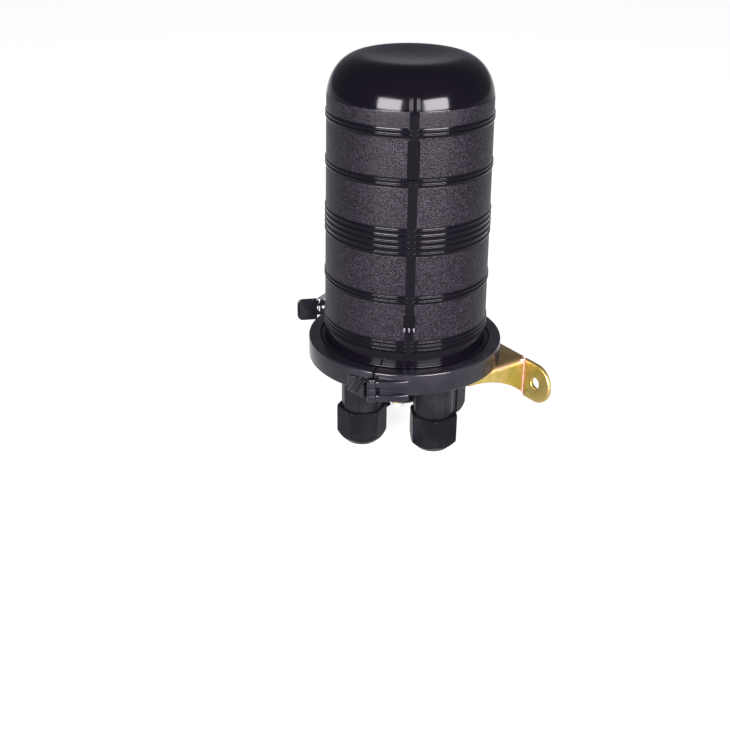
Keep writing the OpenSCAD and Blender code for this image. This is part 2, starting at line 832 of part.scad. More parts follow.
module slip_ring(n) {
    color(tray_grey) placed() at_port(n) translate([0, 0, nut_floor]) difference() {
        cylinder(r = thread_d / 2 - nut_grip_gap, h = slip_h, $fn = round_fn);
        translate([0, 0, -over])
            cylinder(d = nut_mouth - slip_h, h = slip_h + over + over, $fn = round_fn);
    }
}

module gland_seal(n) {
    low = nut_floor + slip_h;
    color(rubber) placed() at_port(n) difference() {
        union() {
            translate([0, 0, low])
                cylinder(r = thread_d / 2 - nut_grip_gap * 2, h = seal_flange,
                    $fn = round_fn);
            translate([0, 0, low])
                cylinder(r = tube_bore / 2 - set_gap, h = seal_flange + seal_len,
                    $fn = round_fn);
        }
        translate([0, 0, low - over])
            cylinder(d = cable_bore, h = seal_flange + seal_len + over + over,
                $fn = round_fn);
    }
}

module gland_nut_1() { gland_nut(1); }
module gland_nut_2() { gland_nut(2); }
module gland_nut_3() { gland_nut(3); }
module gland_nut_4() { gland_nut(4); }
module slip_ring_1() { slip_ring(1); }
module slip_ring_2() { slip_ring(2); }
module slip_ring_3() { slip_ring(3); }
module slip_ring_4() { slip_ring(4); }
module gland_seal_1() { gland_seal(1); }
module gland_seal_2() { gland_seal(2); }
module gland_seal_3() { gland_seal(3); }
module gland_seal_4() { gland_seal(4); }

// Bracket: a plate under the base, two side flanges and two wings
plate_z = base_z - sheet_t;
wing_round_r = wing_h / 2;
wing_hole_y = arm_half_w + wing_hole_out;
wing_mid_z = base_z - wing_h / 2;
tube_clear = 1.2;
taper_steps = 20;
taper_len = wall_x - arm_start_x;
taper_h = wing_h - flange_low_h;
taper_r = (taper_len * taper_len + taper_h * taper_h) / (2 * taper_h);
// Depth of a side flange at a distance from the wall face
function flange_depth(x) = flange_low_h + taper_r
    - sqrt(taper_r * taper_r - pow(taper_len - x, 2));

module side_flange() {
    rotate([90, 0, 0]) linear_extrude(sheet_t)
        polygon(concat([[arm_start_x, base_z], [wall_x, base_z]],
            [for (i = [0:taper_steps]) let (x = taper_len * i / taper_steps)
                [wall_x - x, base_z - flange_depth(x)]]));
}

module wing() {
    translate([wall_x - sheet_t, 0, 0]) rotate([90, 0, 90]) linear_extrude(sheet_t)
        difference() {
            union() {
                translate([arm_half_w - sheet_t, base_z - wing_h])
                    square([wing_hole_out + sheet_t, wing_h]);
                translate([wing_hole_y, wing_mid_z])
                    circle(r = wing_round_r, $fn = round_fn);
            }
            translate([wing_hole_y, wing_mid_z])
                circle(d = wing_hole_d, $fn = small_fn);
        }
}

module bracket() {
    color(zinc) placed() difference() {
        union() {
            translate([arm_start_x, -arm_half_w, plate_z])
                cube([wall_x - arm_start_x, arm_half_w * 2, sheet_t]);
            for (side = [0, 1]) mirror([0, side, 0]) {
                translate([0, arm_half_w, 0]) side_flange();
                wing();
            }
        }
        at_port(1) translate([0, 0, plate_z - over])
            cylinder(r = tube_d / 2 + rib_proud + tube_clear, h = sheet_t + over * 2,
                $fn = round_fn);
        for (p = screw_places, side = [-1, 1])
            translate([p[0], p[1] * side, plate_z - over])
                cylinder(r = bracket_screw_d / 2 + set_gap, h = sheet_t + over * 2,
                    $fn = small_fn);
    }
}

screw_head_h = 2.6;
module pan_screw(d, len) {
    cylinder(d = d, h = len, $fn = small_fn);
    translate([0, 0, -screw_head_h]) difference() {
        cylinder(d = d * 2, h = screw_head_h, $fn = small_fn);
        for (turn = [0, 90]) rotate([0, 0, turn])
            translate([-d / 2, -d / 10, -over])
                cube([d, d / 5, screw_head_h / 2 + over]);
    }
}

module bracket_screws() {
    color(steel) placed() for (p = screw_places, side = [-1, 1])
        translate([p[0], p[1] * side, plate_z])
            pan_screw(bracket_screw_d, sheet_t + screw_deep - side_gap);
}

// Earth bolt through the floor of the hollow boss
earth_af = earth_d * 5 / 3;
earth_head_h = 4;
earth_nut_h = 3.5;
washer_t = 1.2;
washer_rim = 0.6;
module at_earth() {
    rotate([0, 0, earth_turn]) translate([earth_r, 0, boss_end_z]) children();
}
module earth_bolt() {
    len = boss_floor + washer_t + earth_nut_h + earth_free;
    color(steel) placed() at_earth() translate([0, 0, boss_floor]) {
        cylinder(d = earth_af / cos(30), h = earth_head_h, $fn = 6);
        translate([0, 0, -len]) cylinder(d = earth_d, h = len + over, $fn = small_fn);
    }
}
module earth_washer() {
    color(steel) placed() at_earth() translate([0, 0, -washer_t]) difference() {
        cylinder(d = earth_af / cos(30) + washer_rim * 2, h = washer_t, $fn = small_fn);
        translate([0, 0, -over])
            cylinder(r = earth_d / 2 + set_gap, h = washer_t + over * 2, $fn = small_fn);
    }
}
module earth_nut() {
    color(steel) placed() at_earth() translate([0, 0, -washer_t - earth_nut_h]) difference() {
        cylinder(d = earth_af / cos(30), h = earth_nut_h, $fn = 6);
        translate([0, 0, -over])
            cylinder(r = earth_d / 2 + set_gap, h = earth_nut_h + over * 2,
                $fn = small_fn);
    }
}

// Inner frame: an upright plate with a foot, and lugs for three tray hinges
lug_drop_z = 9;
tray_pin_lift = 15.5;
tray_pin_z = floor_z + tray_pin_lift;
lug_round = 4;
lug_t = 2.5;
tray_lift = 7.5;
tray_z = tray_pin_z + tray_lift;
tray_gap = 1.5;
pin_inset = 1.5;
tab_r = 3;
function tray_face(n) = frame_y - tray_gap - tray_pitch * (n - 1);
function tray_pin_y(n) = tray_face(n) - tray_t + pin_inset;
slot_w_share = 0.5;
slot_h = 8;
slot_places = [0.35, 0.62, 0.88];

module tray_frame() {
    color(tray_grey) placed() difference() {
        union() {
            translate([-frame_w / 2, frame_y, floor_z])
                cube([frame_w, frame_t, frame_h]);
            translate([-frame_w / 2, frame_y, floor_z])
                cube([frame_w, frame_t + frame_foot, frame_t]);
            for (side = [0, 1]) mirror([side, 0, 0])
                translate([frame_w / 2 - lug_t, 0, 0]) {
                    translate([0, tray_pin_y(3) - lug_round, tray_pin_z - lug_drop_z / 2])
                        cube([lug_t, frame_y + over - tray_pin_y(3) + lug_round,
                            lug_drop_z]);
                }
        }
        for (n = [1:3]) translate([-frame_w, tray_pin_y(n), tray_pin_z])
            rotate([0, 90, 0])
                cylinder(r = tray_pin_d / 2 + run_gap, h = frame_w * 2, $fn = small_fn);
        for (side = [-1, 1])
            translate([side * frame_w * frame_screw_x_share, frame_screw_y,
                       floor_z - over])
                cylinder(r = frame_screw_d / 2 + set_gap, h = frame_t + over * 2,
                    $fn = small_fn);
        for (s = slot_places)
            translate([-frame_w * slot_w_share / 2, frame_y - over, floor_z + frame_h * s])
                cube([frame_w * slot_w_share, frame_t + over * 2, slot_h]);
    }
}

module frame_screws() {
    color(steel) placed() for (side = [-1, 1])
        translate([side * frame_w * frame_screw_x_share, frame_screw_y,
                   floor_z + frame_t])
            rotate([180, 0, 0])
                pan_screw(frame_screw_d, frame_t + frame_screw_deep - side_gap);
}

// A rectangle with round corners, centred in X and standing on Y = 0
module round_box(w, h, r) {
    translate([-w / 2 + r, 0]) square([w - r * 2, h]);
    translate([-w / 2, r]) square([w, h - r * 2]);
    for (x = [-1, 1], y = [r, h - r])
        translate([x * (w / 2 - r), y]) circle(r = r, $fn = small_fn);
}

// Stands a flat outline up, with its thickness towards -Y from the face given
module stand(face, z, t) {
    translate([0, face, z]) rotate([90, 0, 0]) linear_extrude(t) children();
}

basket_w = 60;
basket_corner = 12;
basket_len = 120;
basket_lift = 24;
basket_wall = 1.6;
module slack_basket() {
    face = frame_y + frame_t;
    color(tray_grey) placed() difference() {
        stand(face + basket_depth, floor_z + basket_lift, basket_depth)
            round_box(basket_w, basket_len, basket_corner);
        stand(face + basket_depth + over, floor_z + basket_lift + basket_wall,
              basket_depth + over - basket_wall)
            round_box(basket_w - basket_wall * 2, basket_len - basket_wall * 2,
                basket_corner - basket_wall);
    }
}

tray_corner = 16;
tray_floor = 1.6;
tab_half_w = frame_w / 2 - lug_t - side_gap;
module splice_tray(n) {
    face = tray_face(n);
    color(tray_grey) placed() difference() {
        union() {
            stand(face, tray_z, tray_t) round_box(tray_w, tray_len, tray_corner);
            translate([-tab_half_w, tray_pin_y(n) - pin_inset + tray_floor / 2,
                       tray_pin_z])
                cube([tab_half_w * 2, tray_floor * 2, tray_lift + tray_corner]);
            translate([-tab_half_w, tray_pin_y(n), tray_pin_z]) rotate([0, 90, 0])
                cylinder(r = tab_r, h = tab_half_w * 2, $fn = small_fn);
        }
        difference() {
            stand(face - tray_floor, tray_z + tray_wall, tray_t)
                round_box(tray_w - tray_wall * 2, tray_len - tray_wall * 2,
                    tray_corner - tray_wall);
            translate([-tab_half_w, face - tray_t - over, tray_z])
                cube([tab_half_w * 2, tray_t + over * 2, tray_corner]);
        }
        translate([-frame_w, tray_pin_y(n), tray_pin_z]) rotate([0, 90, 0])
            cylinder(r = tray_pin_d / 2 + set_gap, h = frame_w * 2, $fn = small_fn);
    }
}

holder_w = 44;
holder_h = 26;
holder_share = 0.45;
holder_slots = 6;
holder_slot_w = 3.2;
holder_floor = 1.2;
module splice_holder(n) {
    face = tray_face(n) - tray_floor;
    t = tray_t - tray_floor - side_gap;
    z = tray_z + tray_len * holder_share;
    color("#30343a") placed() difference() {
        translate([-holder_w / 2, face - t, z]) cube([holder_w, t, holder_h]);
        for (i = [0:holder_slots - 1])
            translate([-holder_w / 2 - over, face - t - over,
                       z + holder_h * (i + 0.5) / holder_slots - holder_slot_w / 2])
                cube([holder_w + over * 2, t + over - holder_floor, holder_slot_w]);
    }
}

module tray_pin(n) {
    color(steel) placed() translate([-frame_w / 2, tray_pin_y(n), tray_pin_z])
        rotate([0, 90, 0]) cylinder(d = tray_pin_d, h = frame_w, $fn = small_fn);
}

cover_t = 1.2;
module tray_cover() {
    color(clear) placed() stand(tray_face(3) - tray_t, tray_z, cover_t)
        round_box(tray_w, tray_len, tray_corner);
}

module splice_tray_1() { splice_tray(1); }
module splice_tray_2() { splice_tray(2); }
module splice_tray_3() { splice_tray(3); }
module splice_holder_1() { splice_holder(1); }
module splice_holder_2() { splice_holder(2); }
module splice_holder_3() { splice_holder(3); }
module tray_pin_1() { tray_pin(1); }
module tray_pin_2() { tray_pin(2); }
module tray_pin_3() { tray_pin(3); }

// Anchors for the cables' strength members: a saddle on each post, and its screw
saddle_w = 9;
saddle_h = 5;
saddle_slot = 2.5;
module at_post(turn) {
    rotate([0, 0, turn]) translate([post_r, 0, floor_z + post_h]) children();
}
module strength_clamps() {
    color(steel) placed() for (turn = [45:90:315]) at_post(turn) difference() {
        translate([-saddle_w / 2, -saddle_w / 2, 0])
            cube([saddle_w, saddle_w, saddle_h]);
        translate([-saddle_w, saddle_w / 4, saddle_h / 2 - saddle_slot / 2])
            cube([saddle_w * 2, saddle_w, saddle_slot]);
        translate([0, 0, -over])
            cylinder(r = post_screw_d / 2 + set_gap, h = saddle_h + over * 2,
                $fn = small_fn);
    }
}
module strength_screws() {
    color(steel) placed() for (turn = [45:90:315]) at_post(turn)
        translate([0, 0, saddle_h]) rotate([180, 0, 0])
            pan_screw(post_screw_d, saddle_h + frame_screw_deep - side_gap);
}

dome();
dome_wall_front();
dome_wall_rear();
dome_flange();
base();
base_rim();
base_boss();
port_tube_1();
port_tube_2();
port_tube_3();
port_tube_4();
o_ring();
clamp_front();
clamp_left();
clamp_rear();
latch_lug();
hinge_pin_front();
hinge_pin_rear();
latch_lever();
latch_link();
lever_pin();
link_pin();
gland_nut_1();
gland_nut_2();
gland_nut_3();
gland_nut_4();
slip_ring_1();
slip_ring_2();
slip_ring_3();
slip_ring_4();
gland_seal_1();
gland_seal_2();
gland_seal_3();
gland_seal_4();
bracket();
bracket_screws();
earth_bolt();
earth_washer();
earth_nut();
tray_frame();
frame_screws();
slack_basket();
splice_tray_1();
splice_tray_2();
splice_tray_3();
splice_holder_1();
splice_holder_2();
splice_holder_3();
tray_pin_1();
tray_pin_2();
tray_pin_3();
tray_cover();
strength_clamps();
strength_screws();
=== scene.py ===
"""Looks of the dome joint closure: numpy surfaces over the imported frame, their finishes, light and camera.

Shapes are worked out in millimetres round the dome's axis, with height 0 under the gland nuts,
and shifted once to the part's own frame in metres.
"""

import json

import bmesh
import bpy
import numpy as np
from mathutils import Matrix


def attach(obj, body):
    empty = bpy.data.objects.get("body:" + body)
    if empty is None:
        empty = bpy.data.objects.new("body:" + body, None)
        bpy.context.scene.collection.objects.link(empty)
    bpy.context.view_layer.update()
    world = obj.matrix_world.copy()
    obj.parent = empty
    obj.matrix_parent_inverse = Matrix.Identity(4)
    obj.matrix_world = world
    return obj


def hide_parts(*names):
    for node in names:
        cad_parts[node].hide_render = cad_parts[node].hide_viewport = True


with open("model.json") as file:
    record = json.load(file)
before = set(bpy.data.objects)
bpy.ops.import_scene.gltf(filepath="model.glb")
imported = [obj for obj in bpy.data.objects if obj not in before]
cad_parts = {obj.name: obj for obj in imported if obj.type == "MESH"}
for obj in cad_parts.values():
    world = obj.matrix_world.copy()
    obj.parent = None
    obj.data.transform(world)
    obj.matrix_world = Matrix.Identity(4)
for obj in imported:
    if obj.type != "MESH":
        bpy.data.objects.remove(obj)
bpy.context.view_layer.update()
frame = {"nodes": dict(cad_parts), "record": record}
BODY = {n: body for body, names in frame["record"]["behaviour"]["bodies"].items() for n in names}

# The part's sizes: millimetres and degrees, with the draft in radians
WALL_X, UNDER_NUTS = 75.0, 47.5
DOME_R, DOME_H, DOME_WALL, DRAFT = 62.5, 216.0, 3.0, np.radians(0.64)
SHOULDER_W, SHOULDER_H, DISH_DEPTH = 25.0, 31.0, 1.8
RING_W, RING_PROUD = 2.1, 0.7
# The strip down the front: its angle, the wall's mean radius for arc lengths, and half the width of a window
SEAM_TURN, SEAM_R, WINDOW_HALF = 236.0, 61, 4.2
# Groups of rings: height as a share of the dome's, how many, spacing
RING_GROUPS = [(0.076, 3, 3.0), (0.247, 2, 3.0), (0.45, 5, 4.3), (0.65, 2, 3.0), (0.811, 2, 3.0)]
# Sunk windows in the strip, as shares of the dome's height, and the three bars at the foot of the lower one
WINDOWS = [(0.129, 0.190), (0.66, 0.785)]
BAR_SHARE, BAR_H, BAR_HALF, BAR_STEP = 0.131, 3.0, 0.55, 3.5
HOOP_Z, HOOP_TOP, HOOP_R, LIP_R = 64.5, 81.5, 75.0, 65.8
# Angles of both hinges and of the latch, radius of the hinge axes, and half the gap at a cut end
FRONT_HINGE, REAR_HINGE, SPLIT, HINGE_R = 216.2, 30.0, 98.0, 79.5
GAP, REAR_GAP = 0.45, 0.9
FRONT_TOP, FRONT_H = HOOP_TOP - 4.5, 16.8
REAR_TOP, REAR_H = HOOP_TOP - 1, 15.0
# Arms beside the hinges: outer radius, arc length of one degree, and where a slotted arm starts and ends
ARM_R, ARM_ARC, ARM_FROM, ARM_TO = HINGE_R + 1.2, 78 / 57.3, 4.4, 17.5
BASE_Z, PORT_R = 63.5, 40.1


# ---------------------------------------------------------------- shapes

def unit(v):
    return v / np.maximum(np.linalg.norm(v, axis=-1, keepdims=True), 1e-12)


def smooth(x, low, high):
    """0 below low, 1 above high, and the cubic 3t^2 - 2t^3 between them."""
    t = np.clip((x - low) / (high - low), 0, 1)
    return t * t * (3 - 2 * t)


def band(x, half, edge):
    """1 where |x| is under half, falling to 0 over the width edge."""
    return 1 - smooth(np.abs(x), half - edge / 2, half + edge / 2)


def rounded(corners, steps=5):
    """Closed outline from corners (x, y, r): each corner is an arc of radius r that touches both its sides."""
    p = np.array([c[:2] for c in corners], float)
    out = []
    for k, (x, y, r) in enumerate(corners):
        a, b = unit(p[k - 1] - p[k]), unit(p[(k + 1) % len(p)] - p[k])
        half = np.arccos(np.clip(a @ b, -1, 1)) / 2
        if r <= 0 or half > 1.56:
            out.append(p[k][None])
            continue
        centre = p[k] + unit(a + b) * r / np.sin(half)
        s, e = p[k] + a * r / np.tan(half) - centre, p[k] + b * r / np.tan(half) - centre
        turn = np.pi - 2 * half
        t = np.linspace(0, 1, steps + 1)[:, None]
        out.append(centre + (np.sin((1 - t) * turn) * s + np.sin(t * turn) * e) / np.sin(turn))
    return np.vstack(out)


def inset(outline, d):
    """Counter-clockwise outline moved inwards by d: each point slides along the mitre of its two sides."""
    e = unit(np.roll(outline, -1, 0) - outline)
    n = np.stack([e[:, 1], -e[:, 0]], 1)
    m = n + np.roll(n, 1, 0)
    m = m / np.maximum(1 + (n * np.roll(n, 1, 0)).sum(1), 0.4)[:, None]
    return outline - d * m


class Shells:
    """Closed shells that together make one piece."""

    def __init__(self):
        self.mesh = bmesh.new()

    def add(self, points, along=False, matrix=None):
        """A grid of points, closed round its columns; its rows close too (along), or end in a cap or a pole."""
        rows, cols = points.shape[:2]
        i = np.arange(rows if along else rows - 1)[:, None]
        j = np.arange(cols)[None, :]
        low, high, right = i * cols, (i + 1) % rows * cols, (j + 1) % cols
        faces = np.stack([low + j, low + right, high + right, high + j], -1).reshape(-1, 4).tolist()
        if not along:
            faces += [list(range(cols)), list(range((rows - 1) * cols, rows * cols))]
        flat = points.reshape(-1, 3)
        if matrix is not None:
            flat = flat @ matrix[:3, :3].T + matrix[:3, 3]
        flat = (flat - [WALL_X, 0, UNDER_NUTS]) * 0.001
        temp = bpy.data.meshes.new("temp")
        temp.from_pydata(flat.tolist(), [], faces)
        one = bmesh.new()
        one.from_mesh(temp)
        bmesh.ops.remove_doubles(one, verts=one.verts, dist=2e-7)
        bmesh.ops.dissolve_degenerate(one, edges=one.edges, dist=1e-7)
        bmesh.ops.recalc_face_normals(one, faces=one.faces)
        one.to_mesh(temp)
        one.free()
        self.mesh.from_mesh(temp)
        bpy.data.meshes.remove(temp)
        return self

    def piece(self, name, finish, body, nodes, slot, sharp=40):
        mesh = bpy.data.meshes.new(name)
        self.mesh.to_mesh(mesh)
        self.mesh.free()
        mesh.polygons.foreach_set("use_smooth", np.ones(len(mesh.polygons), bool))
        mesh.set_sharp_from_angle(angle=np.radians(sharp))
        mesh.materials.append(finish)
        made = bpy.data.objects.new(name, mesh)
        bpy.context.scene.collection.objects.link(made)
        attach(made, body)
        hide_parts(*nodes)


def turned(profile, turns, radius=None):
    """Profile (r, z) carried round the Z axis: point (r cos a, r sin a, z) at each angle a, in degrees."""
    a = np.radians(np.asarray(turns, float))[:, None]
    r, z = profile[:, 0][None], profile[:, 1][None]
    if radius is not None:
        r = radius(r, z, a)
    return np.stack([r * np.cos(a), r * np.sin(a), z + 0 * a], -1)


def whole_turn(count):
    return np.arange(count) * 360 / count


def slab(outline, low, high, edge, steps=3):
    """Flat plate: the outline runs from low to high, and its rims are quarter rounds of radius edge."""
    a = np.linspace(0, np.pi / 2, steps + 1)
    rows = [(edge * (1 - np.sin(t)), low + edge * (1 - np.cos(t))) for t in a]
    rows += [(edge * (1 - np.sin(t)), high - edge * (1 - np.cos(t))) for t in a[::-1]]
    return np.stack([np.column_stack([inset(outline, d), np.full(len(outline), z)]) for d, z in rows])


def lathe_pin(r, low, high, edge):
    """Round bar along Z with rounded ends, from its low pole to its high pole."""
    side = rounded([(0, low, 0), (r, low, edge), (r, high, edge), (0, high, 0)], 4)
    return turned(side, whole_turn(40)).transpose(1, 0, 2)


def frame_at(origin, x, y):
    """Matrix of a local frame from its origin and its first two axes."""
    m = np.eye(4)
    m[:3, 0], m[:3, 1], m[:3, 3] = x, y, origin
    m[:3, 2] = np.cross(x, y)
    return m


def turn_z(deg, origin=(0, 0, 0)):
    c, s = np.cos(np.radians(deg)), np.sin(np.radians(deg))
    return frame_at(origin, (c, s, 0), (-s, c, 0))


def shifted(x, y=0, z=0):
    return frame_at((x, y, z), (1, 0, 0), (0, 1, 0))


# ---------------------------------------------------------------- finishes

class Value:
    """A node's output. Operators on it add Math nodes."""

    def __init__(self, tree, socket):
        self.tree, self.socket = tree, socket

    def math(self, operation, *others, clamp=False):
        n = self.tree.nodes.new("ShaderNodeMath")
        n.operation, n.use_clamp = operation, clamp
        for slot, v in zip(n.inputs, (self, *others)):
            connect(self.tree, v, slot)
        return Value(self.tree, n.outputs[0])

    def __add__(self, o): return self.math("ADD", o)
    def __sub__(self, o): return self.math("SUBTRACT", o)
    def __mul__(self, o): return self.math("MULTIPLY", o)
    def __pow__(self, o): return self.math("POWER", o)
    def __radd__(self, o): return self + o
    def __rmul__(self, o): return self * o
    def __rsub__(self, o): return self.number(o).math("SUBTRACT", self)
    def __abs__(self): return self.math("ABSOLUTE")
    def most(self, o): return self.math("MAXIMUM", o)
    def clip(self): return self.math("ADD", 0.0, clamp=True)

    def number(self, value):
        """A fixed number as a node beside this one."""
        n = self.tree.nodes.new("ShaderNodeValue")
        n.outputs[0].default_value = value
        return Value(self.tree, n.outputs[0])

    def step(self, low, high):
        """0 below low, 1 above high, smooth between."""
        n = self.tree.nodes.new("ShaderNodeMapRange")
        n.interpolation_type = "SMOOTHSTEP"
        for slot, v in zip(n.inputs, (self, low, high, 0.0, 1.0)):
            connect(self.tree, v, slot)
        return Value(self.tree, n.outputs[0])


def connect(tree, v, slot):
    if isinstance(v, Value):
        tree.links.new(v.socket, slot)
    elif v is not None:
        if isinstance(v, (tuple, list)) and len(v) == 3 and slot.type == "RGBA":
            v = (*v, 1)
        slot.default_value = v


class Finish:
    """One material, built from expressions on Object coordinates in metres."""

    def __init__(self, name):
        self.made = bpy.data.materials.new(name)
        self.made.use_nodes = True
        self.tree = self.made.node_tree
        self.tree.nodes.clear()
        self.at = self.node("ShaderNodeTexCoord", out="Object")
        split = self.tree.nodes.new("ShaderNodeSeparateXYZ")
        self.tree.links.new(self.at.socket, split.inputs[0])
        self.x, self.y, self.z = (Value(self.tree, s) for s in split.outputs)

    def node(self, kind, inputs=None, out=0, stops=None, **settings):
        n = self.tree.nodes.new(kind)
        for key, value in settings.items():
            setattr(n, key, value)
        if stops:
            ramp = n.color_ramp.elements
            while len(ramp) > 1:
                ramp.remove(ramp[-1])
            ramp[0].position, ramp[0].color = stops[0][0], (*stops[0][1], 1)
            for place, colour in stops[1:]:
                ramp.new(place).color = (*colour, 1)
        for key, value in (inputs or {}).items():
            connect(self.tree, value, n.inputs[key])
        return Value(self.tree, n.outputs[out])

    def noise(self, size_mm, detail=2.0, rough=0.5, at=None, distort=0.0):
        """Fractal noise whose cells are about size_mm across."""
        return self.node("ShaderNodeTexNoise", {"Vector": at or self.at, "Scale": 1000 / size_mm,
                         "Detail": detail, "Roughness": rough, "Distortion": distort})

    def cells(self, size_mm, out="Distance"):
        """Cells about size_mm across: the distance to a cell's middle, or a colour for each cell."""
        return self.node("ShaderNodeTexVoronoi", {"Vector": self.at, "Scale": 1000 / size_mm}, out=out)

    def stretched(self, sx, sy, sz):
        """Object coordinates scaled by axis, for marks that run one way."""
        return self.node("ShaderNodeVectorMath", {0: self.at, 1: (sx, sy, sz)}, operation="MULTIPLY")

    def blend(self, share, low, high):
        """Colour low where share is 0, high where it is 1."""
        return self.node("ShaderNodeMix", {0: share, 6: low, 7: high}, out=2, data_type="RGBA")

    def ramp(self, share, stops):
        return self.node("ShaderNodeValToRGB", {0: share}, stops=stops)

    def bump(self, height, distance_mm, strength=1.0, normal=None):
        """Normal bent by a height field whose full range is distance_mm deep."""
        return self.node("ShaderNodeBump", {"Height": height, "Distance": distance_mm / 1000,
                         "Strength": strength, "Normal": normal})

    def soft_edges(self, radius_mm, samples=6):
        """Normal that rounds sharp edges by radius_mm in the shading."""
        return self.node("ShaderNodeBevel", {"Radius": radius_mm / 1000}, samples=samples)

    def surface(self, **sockets):
        """Principled surface; a socket name is written with _ for its spaces."""
        n = self.tree.nodes.new("ShaderNodeBsdfPrincipled")
        for key, value in sockets.items():
            connect(self.tree, value, n.inputs[key.replace("_", " ")])
        end = self.tree.nodes.new("ShaderNodeOutputMaterial")
        self.tree.links.new(n.outputs[0], end.inputs["Surface"])
        return self.made


def any_of(masks):
    total = masks[0]
    for m in masks[1:]:
        total = total.most(m)
    return total


def ring_heights():
    return [DOME_H * s + p * (i - (n - 1) / 2) for s, n, p in RING_GROUPS for i in range(n)]


def dome_plastic():
    """Black polycarbonate: fine spark grain on the fields between the rings, polished everywhere else. The grain's
    lighter specks are partly painted glints, the sunk windows carry painted shade and the three bars a painted
    highlight.
    """
    f = Finish("dome_plastic")
    h = (f.z * 1000 + UNDER_NUTS) - HOOP_TOP
    beside = 2.1  # from the middle of a group's last ring to the grain
    tops = [DOME_H * s + p * (n - 1) / 2 + beside for s, n, p in RING_GROUPS]
    feet = [DOME_H * s - p * (n - 1) / 2 - beside for s, n, p in RING_GROUPS[1:]] + [SHOULDER_Z + 4.5]
    fields = any_of([h.step(a - 0.5, a + 0.5) * (1 - h.step(b - 0.5, b + 0.5)) for a, b in zip(tops, feet)])
    # distance across the strip, as an arc on the wall; on the far side there is a narrow bead alone
    c, s = np.cos(np.radians(SEAM_TURN)), np.sin(np.radians(SEAM_TURN))
    px, py = f.x * 1000 + WALL_X, f.y * 1000
    across = abs(px * -s + py * c)
    ahead = (px * c + py * s).step(-5, 5)
    strip = (1 - across.step(3.1, 3.6)) * ahead
    strip = strip.most((1 - across.step(1.7, 2.1)) * (1 - ahead))
    window = any_of([h.step(DOME_H * a - 0.4, DOME_H * a) * (1 - h.step(DOME_H * b, DOME_H * b + 0.4))
                     for a, b in WINDOWS])
    window = window * (1 - across.step(WINDOW_HALF - 0.2, WINDOW_HALF + 0.2)) * ahead
    foot = DOME_H * BAR_SHARE
    bars = (1 - across.step(0.5, 0.7)).most(1 - abs(across - BAR_STEP).step(0.5, 0.7)) * ahead
    bars = bars * h.step(foot - 0.2, foot) * (1 - h.step(foot + BAR_H, foot + BAR_H + 0.2))
    strip = strip.most(window)
    # the wall's inner face has no grain
    outer = ((px * px + py * py) ** 0.5).step(59.3, 59.9)
    grain_zone = fields * (1 - strip) * outer
    pit = f.cells(0.85)
    speck = f.node("ShaderNodeSeparateXYZ", {0: f.cells(0.75, out="Color")})
    grain = pit * 0.8 + f.noise(0.6, 2.0, 0.6) * 0.6
    cloud = f.noise(38, 3.0, 0.55)
    # lighter specks in the grain: partly the grain's own tone, partly painted glints of the grain, spread in broad
    # random clouds
    lit = (speck ** 2.6) * (0.35 + cloud * 0.8) * grain_zone
    base = f.blend(lit.clip(), (0.0009, 0.0007, 0.0013), (0.0100, 0.0085, 0.0118))
    # painted shade: the sunk windows are darkened where their walls would shade them
    base = f.blend(window * 0.35, base, (0.0002, 0.0002, 0.0003))
    # painted highlight: the three bars in the lower window are lighter, so that they read as glinting
    base = f.blend(bars, base, (0.040, 0.037, 0.044))
    wear = f.noise(9, 4.0, 0.6).step(0.46, 0.75)
    rough = grain_zone * (0.30 + speck * 0.14) + (1 - grain_zone) * (0.11 + wear * 0.05)
    fine = f.noise(0.25, 2.0, 0.5)
    height = grain_zone * grain + (1 - grain_zone) * (f.noise(16, 2.0, 0.4) * 0.5 + fine * 0.003)
    return f.surface(Base_Color=base, Roughness=rough, IOR=1.5, Specular_IOR_Level=0.062,
                     Normal=f.bump(height, 0.30, 0.85))


def satin_plastic(name, dark, light, rough, grain_mm, bump_mm, round_mm, shine):
    """Moulded black plastic: a faint even texture, flow clouds and lighter scuffs that run up and down."""
    f = Finish(name)
    cloud = f.noise(22, 3.0, 0.55)
    grain = f.noise(grain_mm, 3.0, 0.6)
    scuff = f.noise(2.2, 5.0, 0.7, at=f.stretched(1, 1, 0.35)).step(0.60, 0.74)
    base = f.blend((cloud.step(0.35, 0.75) * 0.6 + scuff * 0.4).clip(), dark, light)
    roughness = rough + grain * 0.10 + scuff * 0.12 + cloud * 0.06 - 0.08
    edge = f.soft_edges(round_mm) if round_mm else None
    return f.surface(Base_Color=base, Roughness=roughness, IOR=1.5, Specular_IOR_Level=shine,
                     Normal=f.bump(grain + scuff * 0.2, bump_mm, 0.8, edge))


